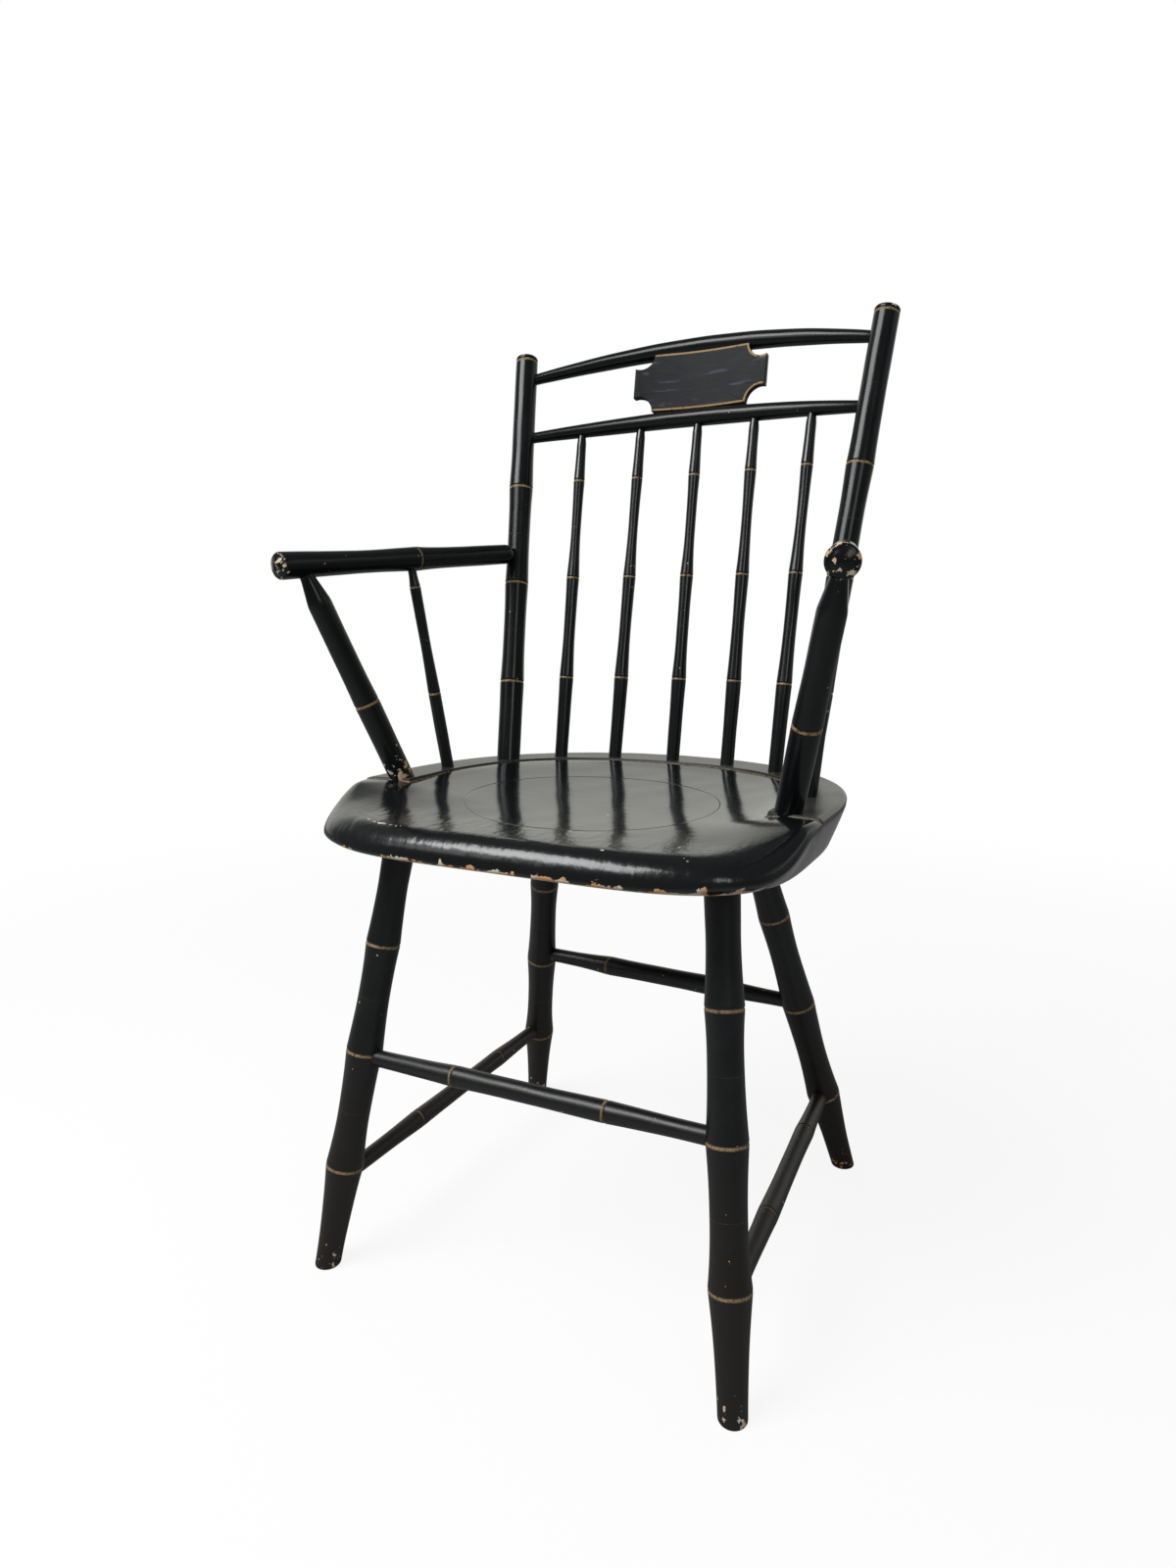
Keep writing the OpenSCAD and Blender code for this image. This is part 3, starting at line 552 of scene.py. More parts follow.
class ChairOperator:
    """What the operators of the pieces share."""
    bl_options = {"REGISTER", "UNDO"}

    def turn(self, node, kind, number, foot, direction, points, span, sides, worn=(0, 0, 1),
             start=None, end=None, level=None):
        """One turned piece in its node's place. Span says where its rings begin and end, start and
        end are places and radii of its finished ends, and worn is the strength, place and width of
        a worn spot."""
        look = sizes("paint")
        groove = SPINDLE_GROOVE if kind == "spindle" else (look.groove_w, look.groove_d)
        s = places(points, *span)
        runs = [run for run in (start, (s, bamboo(points, s, *groove)), end) if run is not None]
        s, r = (np.concatenate(column) for column in zip(*runs))
        strength, worn_at, width = worn
        piece = turning(node + "_turning", foot, direction, s, r, ring_distance(points, s), number,
                        strength * bell(s - worn_at, width), sides, level)
        dress(piece, node, turned_paint(kind))


class CHAIR_OT_legs(ChairOperator, Operator):
    """Turn the four legs, each with three rings and a foot cut level with the floor"""
    bl_idname = "chair.legs"
    bl_label = "Legs"

    def execute(self, context):
        chair = Chair()
        legs = chair.legs
        number = 0
        for front, fore in ((True, "front"), (False, "rear")):
            for side, hand in HANDS:
                number += 1
                foot, head = flip(chair.feet[front], side), flip(chair.heads[front], side)
                l = np.linalg.norm(head - foot)
                ring_s = [*(np.array([legs.low_z, legs.mid_z, legs.top_z]) * l / chair.bottom), l]
                points = [
                    (-legs.foot_r, legs.foot_r, 0),
                    *rings_and_waists(ring_s, LEG_RING_R, LEG_WAIST_R, LEG_WAIST_SHARE),
                    (l - legs.top_r, legs.top_r, 0),
                    (l + 12, legs.top_r, 0)]
                span = (2.2, l + 8)
                foot_r = bamboo(points, np.array(span[:1]), 1, 0)[0]
                self.turn(f"leg_{fore}_{hand}", "leg", number, foot, head - foot, points, span, 72,
                          (0.5, 0, 26), start=foot_rim(foot_r), level=40)
        return {"FINISHED"}


class CHAIR_OT_stretchers(ChairOperator, Operator):
    """Turn the four stretchers, each with two rings"""
    bl_idname = "chair.stretchers"
    bl_label = "Stretchers"

    def bar(self, legs, node, number, a, b, ring_r, waist_r, shift=0):
        """A stretcher from a to b, worn a little all along; its rings may sit nearer to b."""
        l = np.linalg.norm(b - a)
        near = LEG_RING_R[0] + 2
        low, high = (l * part + shift for part in BAR_RING_SHARE)
        points = [
            (-3, legs.bar_end_r, 0), (near, legs.bar_end_r, 0), (low, ring_r, 1),
            (l / 2 + shift, waist_r, 0), (high, ring_r, 1),
            (l - near, legs.bar_end_r, 0), (l + 3, legs.bar_end_r, 0)]
        self.turn(node, "stretcher", number, a, b - a, points, (2, l - 2), 48, (0.08, 0, math.inf))

    def execute(self, context):
        chair = Chair()
        legs = chair.legs
        for node, number, front, height, ring_r, waist_r in (
                ("stretcher_front", 5, True, legs.front_bar_z, legs.bar_ring_r, BAR_WAIST_R),
                ("stretcher_rear", 6, False, legs.rear_bar_z, legs.rear_bar_ring_r,
                 REAR_BAR_WAIST_R)):
            ends = [chair.bar_end(front, side, height, legs.cross_uneven) for side in (-1, 1)]
            self.bar(legs, node, number, *ends, ring_r, waist_r)
        for number, (side, hand) in enumerate(HANDS, 7):
            self.bar(legs, "stretcher_" + hand, number,
                     chair.bar_end(True, side, legs.side_bar_front_z, legs.side_uneven),
                     chair.bar_end(False, side, legs.side_bar_rear_z, legs.side_uneven),
                     legs.bar_ring_r, BAR_WAIST_R, SIDE_BAR_SHIFT)
        return {"FINISHED"}


class CHAIR_OT_posts(ChairOperator, Operator):
    """Turn the two back posts, each with four rings and a low crown"""
    bl_idname = "chair.posts"
    bl_label = "Back posts"

    def execute(self, context):
        chair = Chair()
        back = chair.back
        points = [
            *standing(back.post_base_r),
            *rings_and_waists(POST_RING_S, POST_RING_R, POST_WAIST_R, POST_WAIST_SHARE),
            (POST_RING_S[3], POST_RING_R[3], 1), (back.post_l, POST_RING_R[3], 0)]
        for number, (side, hand) in enumerate(HANDS, 9):
            self.turn(f"post_{hand}", "upper", number, flip(chair.post_foot, side),
                      flip(chair.post_dir, side), points, (IN_SEAT, back.post_l - 3.2), 64,
                      (0.45, back.post_l, 5), end=crown(back.post_l, POST_RING_R[3]))
        return {"FINISHED"}


class CHAIR_OT_spindles(ChairOperator, Operator):
    """Turn the five back spindles, each with three rings"""
    bl_idname = "chair.spindles"
    bl_label = "Back spindles"

    def execute(self, context):
        chair = Chair()
        back = chair.back
        for i, shift in enumerate(SPINDLE_SHIFTS):
            x = (i - 2) * back.pitch + shift
            foot = np.array([x, chair.deck_y(x), chair.seat.height])
            top_x = (i - 2) * back.top_pitch
            head = chair.rail(chair.lower_end, back.lower_rise, top_x)
            l = np.linalg.norm(head - foot)
            shoulder = l - float(chair.rail_r(chair.lower_end, back.lower_r, top_x))
            points = [
                *standing(back.spindle_base_r), *SPINDLE_MARKS,
                (shoulder - SHOULDER, SPINDLE_NECK_R, 0),
                (shoulder, back.spindle_top_r + 0.5, 0), (l, back.spindle_top_r, 0)]
            self.turn(f"spindle_{i + 1}", "spindle", 11 + i, foot, head - foot, points,
                      (IN_SEAT, l - HEAD_GAP), 40)
        return {"FINISHED"}


class CHAIR_OT_arms(ChairOperator, Operator):
    """Turn both arms with their posts and short spindles"""
    bl_idname = "chair.arms"
    bl_label = "Arms"

    def arm(self, chair, side, hand, number):
        """An arm from its crowned front end to the tenon in the back post."""
        arms = chair.arms
        front, rear = chair.arm_front(side), chair.arm_rear(side)
        l = np.linalg.norm(rear - front)
        shoulder = l - ARM_SHOULDER_IN
        points = [
            (0, arms.front_r, 0), (8, arms.front_r, 0), *ARM_MARKS,
            (shoulder - SHOULDER, ARM_MARKS[-1][1], 0), (shoulder, arms.tenon_r, 0),
            (l + 3, arms.tenon_r, 0)]
        end, rim = crown(0, arms.front_r, 3.2, 2.6)
        self.turn(f"arm_{hand}", "upper", number, front, rear - front, points,
                  (6.5, l - HEAD_GAP), 56, (0.55, 2, 7), start=(-end[::-1], rim[::-1]))

    def upright(self, chair, side, node, kind, number, y, place, points, sides, worn=(0, 0, 1)):
        """A turning from the deck at y up to the arm's axis, at a place behind its front end;
        points gives its marks for a length."""
        head = chair.arm_at(side, place)
        foot = flip([chair.deck_x(y), y, chair.seat.height], side)
        l = np.linalg.norm(head - foot)
        self.turn(node, kind, number, foot, head - foot, points(l), (IN_SEAT, l - HEAD_GAP), sides,
                  worn)

    def execute(self, context):
        chair = Chair()
        arms = chair.arms

        def post_points(l):
            cone_top = l - arms.front_r
            return [*standing(arms.post_base_r), *ARM_POST_MARKS,
                    (cone_top - CONE, ARM_POST_NECK_R, 0), (cone_top, arms.post_top_r, 0),
                    (l, arms.post_top_r, 0)]

        def spindle_points(l):
            return [*standing(ARM_SPINDLE_BASE_R), *ARM_SPINDLE_MARKS,
                    (l - ARM_SPINDLE_NECK_DOWN, ARM_SPINDLE_NECK_R, 0), (l, ARM_SPINDLE_TOP_R, 0)]

        for (side, hand), number in zip(HANDS, (20, 25)):
            self.arm(chair, side, hand, number)
            self.upright(chair, side, f"arm_post_{hand}", "upper", number + 1, arms.post_y,
                         arms.post_s, post_points, 56, (0.6 if side < 0 else 0, 0, 30))
            self.upright(chair, side, f"arm_spindle_{hand}", "spindle", number + 2,
                         arms.spindle_y, arms.spindle_s, spindle_points, 40)
        return {"FINISHED"}


class CHAIR_OT_rails(ChairOperator, Operator):
    """Sweep the two bowed rails"""
    bl_idname = "chair.rails"
    bl_label = "Rails"

    def execute(self, context):
        """A circle carried along each rail's axis: v = t x z points back, w = v x t up."""
        chair = Chair()
        back = chair.back
        around = np.linspace(0, 2 * np.pi, 48, endpoint=False)
        for node, end, rise, middle_r, number in (
                ("rail_lower", chair.lower_end, back.lower_rise, back.lower_r, 31),
                ("rail_upper", chair.upper_end, back.upper_rise, back.upper_r, 32)):
            x = np.linspace(-(end[0] - 1), end[0] - 1, 150)
            axis = chair.rail(end, rise, x)
            t = units(np.gradient(axis, axis=0))
            v = units(np.cross(t, [0, 0, 1]))
            w = np.cross(v, t)
            r = chair.rail_r(end, middle_r, x)[:, None]
            r = r + wobble(x[:, None], around[None, :], number)
            rings = axis[:, None] + r[..., None] * (np.cos(around)[None, :, None] * -v[:, None]
                                                    + np.sin(around)[None, :, None] * w[:, None])
            local = np.stack([r * np.cos(around), r * np.sin(around),
                              np.broadcast_to(x[:, None], r.shape)], -1) * MM
            fields = {"local": local + PATTERN_SHIFT * number,
                      "ring": np.full(r.shape, NO_RING), "wear": np.zeros(r.shape)}
            dress(shell(node + "_bow", rings, fields), node, turned_paint("upper"))
        return {"FINISHED"}


class CHAIR_OT_tablet(ChairOperator, Operator):
    """Shape the scooped tablet between the rails"""
    bl_idname = "chair.tablet"
    bl_label = "Tablet"

    def outline(self, back, half_w, half_h, steps=900):
        """The outline as points round the middle: along each ray the board's rectangle is cut back
        where the ray enters a scoop, a circle round each corner, and the points are then spread
        evenly along it."""
        t = np.linspace(0, 2 * np.pi, 20000, endpoint=False)
        ray = np.stack([np.cos(t), np.sin(t)], -1)
        reach = 1 / np.maximum(np.abs(ray[:, 0]) / half_w, np.abs(ray[:, 1]) / half_h)
        centre = np.array([half_w - back.scoop_in, half_h])
        along = np.abs(ray) @ centre
        inside = along ** 2 - (centre @ centre - back.scoop ** 2)
        cut = np.where(inside > 0, along - np.sqrt(np.maximum(inside, 0)), NEVER)
        curve = ray * np.minimum(reach, np.where(cut > 0, cut, NEVER))[:, None]
        closed = np.vstack([curve, curve[:1]])
        walked = np.append(0, np.cumsum(np.linalg.norm(np.diff(closed, axis=0), axis=1)))
        goal = np.linspace(0, walked[-1], steps, endpoint=False)
        return np.stack([np.interp(goal, walked, closed[:, k]) for k in (0, 1)], -1)

    def border(self, back, x, z, half_w, half_h):
        """Distance in from the long edges and the scoops at the right, where the ochre line
        runs."""
        scoop_x = half_w - back.scoop_in
        scoop = np.hypot(np.abs(x) - scoop_x, np.abs(z) - half_h) - back.scoop
        flat = np.where(np.abs(x) < scoop_x - back.scoop + 2, half_h - np.abs(z), 9.0)
        return np.where(x > 0, np.minimum(flat, scoop), flat)

    def execute(self, context):
        """Rows of the outline from the middle of the back face over the bevelled rim to the middle
        of the front one, bent by -bow (x / span) squared and tilted to lean on both rails."""
        chair = Chair()
        back = chair.back
        foot = chair.rail(chair.lower_end, back.lower_rise, 0.0) - [0, back.face_low, 0]
        head = chair.rail(chair.upper_end, back.upper_rise, 0.0) - [0, back.face_high, 0]
        rise = head - foot
        tilt = math.atan2(rise[1], rise[2])
        top = np.linalg.norm(rise) - back.tablet_high
        mid = (back.tablet_low + top) / 2
        half_w, half_h = back.tablet_w / 2, (top - back.tablet_low) / 2
        edge = self.outline(back, half_w, half_h)
        tangent = np.roll(edge, -1, 0) - np.roll(edge, 1, 0)
        normal = units(np.stack([tangent[:, 1], -tangent[:, 0]], -1))
        bevel, thick = 0.9, back.tablet_t
        rim = [(edge - normal * (bevel * (1 - math.sin(a))), bevel * (1 - math.cos(a)))
               for a in np.linspace(0, np.pi / 2, 4)]
        face = [rim[0][0] * scale for scale in np.linspace(1, 0.02, 26)[1:]]
        rows = [*((points, 0.0) for points in face[::-1]), *rim,
                *((points, thick - depth) for points, depth in rim[::-1]),
                *((points, thick) for points in face)]
        flat, depth = (np.array(column) for column in zip(*rows))
        x, z = flat[..., 0], flat[..., 1] + mid
        span = (chair.lower_end[0] + chair.upper_end[0]) / 2
        y = depth[:, None] - back.bow * (x / span) ** 2
        c, s = math.cos(tilt), math.sin(tilt)
        rings = foot + np.stack([x, y * c + z * s, -y * s + z * c], -1)
        fields = {"local": np.stack([x, y, z], -1)[:, ::-1] * MM,
                  "line": self.border(back, x, z - mid, half_w, half_h)[:, ::-1]}
        piece = shell("tablet_board", rings[:, ::-1], fields)
        dress(piece, "tablet", tablet_paint())
        return {"FINISHED"}


# Runs of the seat's form in millimetres before the widest line, or across from the middle
ROLL_RUN = (42, 140)  # the roll grows along the sides
LIP_RUN = (95, 150)  # the saddle rises again
GROOVE_RUN = (60, 125)  # the gutter's groove dies out
CORNER_RUN = (120, 205)  # the roll's widest line climbs toward the front corners
CORNER_FOOT = 0.34  # its height there, as a share of the edge
BANK_RUN = (0, 25)  # the drop from the deck goes on over this distance from the gutter
CREST_TURN = (0.17, 0.38)  # radians before the widest line, where the crest leaves the gutter
CORNER_BEND = 0.16  # radians round the pointed corner, over which the columns bend
BOWL_SOFTNESS = 0.003
BELLY_MOST = 0.86  # the undercut ends at this share of the edge's height at the latest
UNDER_POWER = (1.1, 1.4)  # exponent of the undercut at the deck and at the roll

# Rows of the seat's surface
UNDER_IN = 7  # from the undercut side in to the flat underside
LOW_RIM = ((UNDER_IN, 0), (3.4, 0.0), (2.0, 0.25), (1.0, 0.8), (0.35, 1.8), (0.0, 3.2))  # inset, up
RISE = LOW_RIM[-1][1]
BORDER_GAP = 2.4
BORDER_ROWS = (1.9, 1.4, 0.9, 0.4, 0, -0.35, -0.7, -1.0, -1.3, -1.7, -2.2, -2.9, -3.8, -5,
               -6.5, -8.5)
OVAL_ROWS = (1.6, 0.9, 0.45, 0, -0.45, -0.9, -1.6)
SCRIBE_DEPTH, SCRIBE_WIDTH = 0.28, 0.45
CENTRE_R = 4.0


class CHAIR_OT_seat(ChairOperator, Operator):
    """Carve the plank seat: deck, gutter, saddle, crest and rolled front edge"""
    bl_idname = "chair.seat"
    bl_label = "Seat"

    def outline(self, chair):
        """The seat's edge, |x / a|^n + |y / b|^m = 1 before and behind the widest line, as finely
        spaced angles and distances from the middle, and the length walked along it."""
        seat = chair.seat
        t = np.linspace(-np.pi, np.pi, 40001)
        rear = np.sin(t) > 0
        n_x = np.where(rear, seat.rear_square, seat.front_square)
        n_y = np.where(rear, seat.side_square, seat.front_square)
        depth = np.where(rear, seat.rear, seat.front)
        x = chair.side * np.sign(np.cos(t)) * np.abs(np.cos(t)) ** (2 / n_x)
        y = depth * np.sign(np.sin(t)) * np.abs(np.sin(t)) ** (2 / n_y)
        around = np.arctan2(y, x)
        around[0], around[-1] = -np.pi, np.pi
        walked = np.append(0, np.cumsum(np.hypot(np.diff(x), np.diff(y))))
        return around, np.hypot(x, y), walked

    def corner_y(self, chair):
        return chair.arms.post_y - chair.seat.corner_gap - chair.seat.mid_y

    def corner(self, chair):
        """Angle of the pointed corner where the gutter turns off to the right side."""
        return math.atan2(self.corner_y(chair), chair.gutter_a)

    def columns(self, chair, around, walked):
        """Angles of the columns: even steps along the edge, and close ones on both sides of the
        line that carries the gutter across to each side of the seat."""
        even = np.interp(np.linspace(0, walked[-1], 640, endpoint=False), walked, around)
        corner = self.corner(chair)
        close = np.radians([0, 0.07, 0.15, 0.25, 0.38, 0.55, 0.8])
        close = np.concatenate([-close[:0:-1], close])
        marks = np.concatenate([corner + close, -np.pi - corner + close])
        apart = np.abs(even[:, None] - marks[None, :]).min(1)
        return np.sort(np.concatenate([even[apart > np.radians(0.15)], marks]))

    def saddle(self, chair, points):
        """Level of the saddle's border, 1 on it and less inside, and the distance from it: the
        gutter's superellipse behind the widest line, and the front crest's before it."""
        seat = chair.seat
        x, y = points[..., 0], points[..., 1]
        rear = y > 0
        before = np.arctan2(-y, np.abs(x))
        a = chair.gutter_a + seat.crest_out * ramp(before, *CREST_TURN)
        b = np.where(rear, chair.gutter_b, seat.front - seat.crest_in)
        n = np.where(rear, DECK_SQUARE, seat.crest_square)
        u, v = np.abs(x) / a + 1e-9, np.abs(y) / b + 1e-9
        level = (u ** n + v ** n) ** (1 / n)
        slope = np.hypot((u / level) ** (n - 1) / a, (v / level) ** (n - 1) / b)
        return level, (level - 1) / slope

    def crossing(self, chair, points):
        """How far a point lies behind the line that carries the gutter across to the side."""
        aside = np.abs(points[:, 0]) - chair.gutter_a
        return points[:, 1] - self.corner_y(chair) + chair.seat.corner_lean * aside

    def top(self, chair, points):
        """Height of the seat's top and the distance from the gutter: the deck, less a low bank and
        a V groove at the gutter, and a bowl whose depth is 1 - |u|^m - v^n, where u runs to the
        sides from a line right of the middle and v to the rear from the lowest line; where that
        would pass zero it levels out, and the sides' rise fades toward the front."""
        seat = chair.seat
        x, y = points[:, 0], points[:, 1]
        d = self.saddle(chair, points)[1]
        gutter = np.minimum(d, self.crossing(chair, points) / math.hypot(1, seat.corner_lean))
        u = (x - seat.saddle_shift * (1 - (x / chair.deck_a) ** 2)) / chair.deck_a
        v = np.maximum(0, y + seat.saddle_low) / (chair.gutter_b + seat.saddle_low)
        side = np.abs(u) ** seat.side_power * (1 - ramp(-y, seat.level_from, seat.level_to))
        bowl = 1 - side - v ** seat.rear_power
        bowl = 0.5 * (bowl + np.sqrt(bowl ** 2 + BOWL_SOFTNESS))
        inward = np.where(y > 0, -d, chair.gutter_a - np.abs(x))
        drop = seat.bank + (seat.gutter_drop - seat.bank) * ramp(inward, *BANK_RUN)
        drop = drop + (seat.saddle_depth - seat.gutter_drop) * bowl
        z = seat.height - drop * ramp(-gutter, -0.3, 1.5) + seat.lip * ramp(-y, *LIP_RUN)
        return z - seat.groove * bell(gutter + 1.0, 0.8) * (1 - ramp(-y, *GROOVE_RUN)), gutter

    def execute(self, context):
        """Rows from the middle of the underside out to its rim, up the undercut side, over the
        rolled or rounded edge, in across the deck, the gutter, the saddle and the scribed oval.
        Each runs round the seat, a share of the way along lines from the edge to the border
        and on to the middle."""
        chair = Chair()
        seat, bottom = chair.seat, chair.bottom
        around, reach, walked = self.outline(chair)
        phi = self.columns(chair, around, walked)
        corner = self.corner(chair)
        side_x = chair.side - chair.gutter_a
        side_y = self.corner_y(chair) - seat.corner_lean * side_x
        bend = math.atan2(side_y, chair.side) - corner
        psi = phi + bend * bell(phi - corner, CORNER_BEND)
        psi = psi - bend * bell(phi + np.pi + corner, CORNER_BEND)
        edge_ray = np.stack([np.cos(psi), np.sin(psi)], -1)
        edge = edge_ray * np.interp(psi, around, reach)[:, None]
        ray = np.stack([np.cos(phi), np.sin(phi)], -1)
        border = ray / self.saddle(chair, ray)[0][:, None]
        out = edge - border
        wide = np.linalg.norm(out, axis=1)
        out /= wide[:, None]

        share = np.where(self.crossing(chair, edge) < -0.2, ramp(-edge[:, 1], *ROLL_RUN), 0.0)
        roll_w = mix(seat.rim_w, wide - 1.5, share)
        slope = mix(seat.under_side, seat.under_front, np.maximum(0, -edge_ray[:, 1]) ** 2)
        start = self.top(chair, edge - out * roll_w[:, None])[0]
        foot = mix(seat.roll_foot, CORNER_FOOT, ramp(np.abs(edge[:, 0]), *CORNER_RUN))
        roll_h = mix(seat.rim_h, (1 - foot) * (start - bottom), share)
        tangent_z = start - roll_h
        belly = np.minimum(BELLY_MOST, (tangent_z - bottom) / (start - bottom))
        power = mix(*UNDER_POWER, share)
        rows = []

        def skirt(z, inset=0):
            up = (z - bottom) / (belly * (start - bottom))
            back = slope * np.maximum(0, 1 - up) ** power + inset
            rows.append((edge - out * back[:, None], z + 0 * back, BELOW + 0 * back))

        def cover(points, lower=0):
            z, gutter = self.top(chair, points)
            rows.append((points, z - lower, gutter))

        under = edge - out * (slope + UNDER_IN)[:, None]
        for scale in np.linspace(0.04, 1, 9)[:-1]:
            rows.append((under * scale, bottom + 0 * slope, BELOW + 0 * slope))
        for inset, up in LOW_RIM:
            skirt(bottom + up, inset)
        for part in np.linspace(0, 1, 11)[1:-1]:
            skirt(mix(bottom + RISE, tangent_z, part))
        for turn in np.radians(np.linspace(90, 0, 21)):
            cover(edge - out * (roll_w * (1 - math.sin(turn)))[:, None],
                  roll_h * (1 - math.cos(turn)))
        flat_w = np.maximum(wide - roll_w - BORDER_GAP, 0.2)
        for part in np.linspace(0, 1, 11)[1:]:
            cover(edge - out * mix(roll_w, roll_w + flat_w, part)[:, None])
        for d in BORDER_ROWS:
            cover(border + (ray if d < 0 else out) * d)
        oval = self.oval(seat, ray)
        inner = np.linalg.norm(border, axis=1) + BORDER_ROWS[-1]
        for part in np.linspace(0, 1, 17)[1:-1]:
            cover(ray * mix(inner, oval + OVAL_ROWS[0], part)[:, None])
        for d in OVAL_ROWS:
            cover(ray * (oval + d)[:, None], SCRIBE_DEPTH * math.exp(-(d / SCRIBE_WIDTH) ** 2))
        for part in np.linspace(0, 1, 26)[1:]:
            cover(ray * mix(oval + OVAL_ROWS[-1], CENTRE_R, part)[:, None])

        flat, z, gutter = (np.array(column) for column in zip(*rows))
        x, y = flat[..., 0], flat[..., 1]
        ripple = 0.10 * np.sin(x / 9 + 2 * np.sin(y / 31)) * np.sin(y / 17 + 0.7)
        z = z + np.where(z > bottom + 8, ripple, 0)
        rings = np.stack([x, y + seat.mid_y, z], -1)
        fields = {"local": rings * MM, "gutter": gutter, "oval": np.hypot(x, y) - oval[None, :],
                  "border": self.saddle(chair, flat)[1], "wear": self.wear(chair, rings)}
        dress(shell("seat_plank", rings, fields), "seat", seat_paint())
        return {"FINISHED"}

    def oval(self, seat, ray):
        """Distance from the middle to the scribed oval along each ray: the far root of a
        quadratic."""
        a, b, back = seat.oval_a, seat.oval_b, seat.oval_back
        p = ray[:, 0] ** 2 / a ** 2 + ray[:, 1] ** 2 / b ** 2
        q = -ray[:, 1] * back / b ** 2
        c = back ** 2 / b ** 2 - 1
        return (-q + np.sqrt(q * q - p * c)) / p

    def wear(self, chair, rings):
        """Chips gather along the lower front edge, as a bell of height above the underside times
        how far forward the point lies."""
        return ramp(-rings[..., 1], 120, 215) * bell(rings[..., 2] - chair.bottom - 2, 8)


# Materials

class Socket:
    """A node's output that takes Python arithmetic: each operation adds a Math node."""

    def __init__(self, tree, link):
        self.tree, self.link = tree, link

    def math(self, operation, *values):
        return self.tree.add("ShaderNodeMath", {"operation": operation}, values)

    def __add__(self, other):
        return self.math("ADD", self, other)

    __radd__ = __add__

    def __mul__(self, other):
        return self.math("MULTIPLY", self, other)

    __rmul__ = __mul__

    def __sub__(self, other):
        return self.math("SUBTRACT", self, other)

    def __rsub__(self, other):
        return self.math("SUBTRACT", other, self)

    def __abs__(self):
        return self.math("ABSOLUTE", self)

    def at_least(self, other):
        return self.math("MAXIMUM", self, other)

    def step(self, low, high):
        """0 below low, 1 above high, smooth between them; falling where low is above high."""
        return self.tree.add("ShaderNodeMapRange", {"interpolation_type": "SMOOTHSTEP"},
                             {"Value": self, "From Min": low, "From Max": high})


class Paint:
    """The nodes of a material or world under construction."""

    def __init__(self, owner):
        self.owner = bpy.data.materials.new(owner) if isinstance(owner, str) else owner
        self.owner.use_nodes = True
        self.nodes = self.owner.node_tree.nodes
        self.links = self.owner.node_tree.links
        self.nodes.clear()

    def add(self, kind, settings=None, inputs=None, output=0):
        """Adds a node: its settings first, then the values or links of its sockets, by name or in
        order. A colour's three numbers get an alpha of 1."""
        node = self.nodes.new(kind)
        for key, value in (settings or {}).items():
            setattr(node, key, value)
        pairs = inputs.items() if isinstance(inputs, dict) else enumerate(inputs or ())
        for key, value in pairs:
            socket = node.inputs[key]
            if isinstance(value, Socket):
                self.links.new(value.link, socket)
            else:
                socket.default_value = (*value, 1) if socket.type == "RGBA" else value
        return Socket(self, node.outputs[output]) if len(node.outputs) else None

    def attribute(self, name, output="Fac"):
        return self.add("ShaderNodeAttribute", {"attribute_name": name}, None, output)

    def axis(self, place, name):
        return self.add("ShaderNodeSeparateXYZ", {}, [place], name)

    def noise(self, place, scale, detail=2.0, rough=0.5):
        return self.add("ShaderNodeTexNoise", {}, {"Vector": place, "Scale": scale,
                                                   "Detail": detail, "Roughness": rough})

    def stretch(self, place, factors):
        return self.add("ShaderNodeMapping", {}, {"Vector": place, "Scale": factors})

    def blend(self, factor, a, b):
        """Mixes two colours."""
        return self.add("ShaderNodeMix", {"data_type": "RGBA"}, {0: factor, 6: a, 7: b}, 2)

    def dots(self, place, scale, size, share_kept):
        """Small round specks: near a Voronoi point, where that cell's random number is low."""
        inputs = {"Vector": place, "Scale": scale}
        near, pick = (self.add("ShaderNodeTexVoronoi", {}, inputs, output)
                      for output in ("Distance", "Color"))
        chance = self.add("ShaderNodeSeparateColor", {}, [pick])
        return near.step(size, size * 0.6) * chance.step(share_kept + 0.02, share_kept)

    def finish(self, base, roughness, relief, depth, specular=0.5):
        """The shader of a paint, with its relief as a bump of a depth in metres."""
        normal = self.add("ShaderNodeBump", {}, {
            "Height": relief, "Distance": depth, "Strength": 1.0})
        shader = self.add("ShaderNodeBsdfPrincipled", {}, {
            "Base Color": base, "Roughness": roughness, "Normal": normal,
            "Specular IOR Level": specular})
        self.add("ShaderNodeOutputMaterial", {}, {"Surface": shader})
        return self.owner


def times(tone, factor):
    return tuple(factor * c for c in tone)


LEG_KINDS = ("leg", "stretcher")
TURNED_KINDS = {"leg": (1.25, 0.42), "stretcher": (0.8, 0.5), "upper": (1.25, 0.3),
                "spindle": (0.95, 0.5)}  # half width of a ring line in millimetres, and shine
TABLET_SHINE = 0.12
# Painted shade: a near black for the gutter's groove, and another for the scribed oval.
GUTTER_SHADE, OVAL_SHADE = (0.003, 0.003, 0.003), (0.002, 0.002, 0.002)
MADE = {}


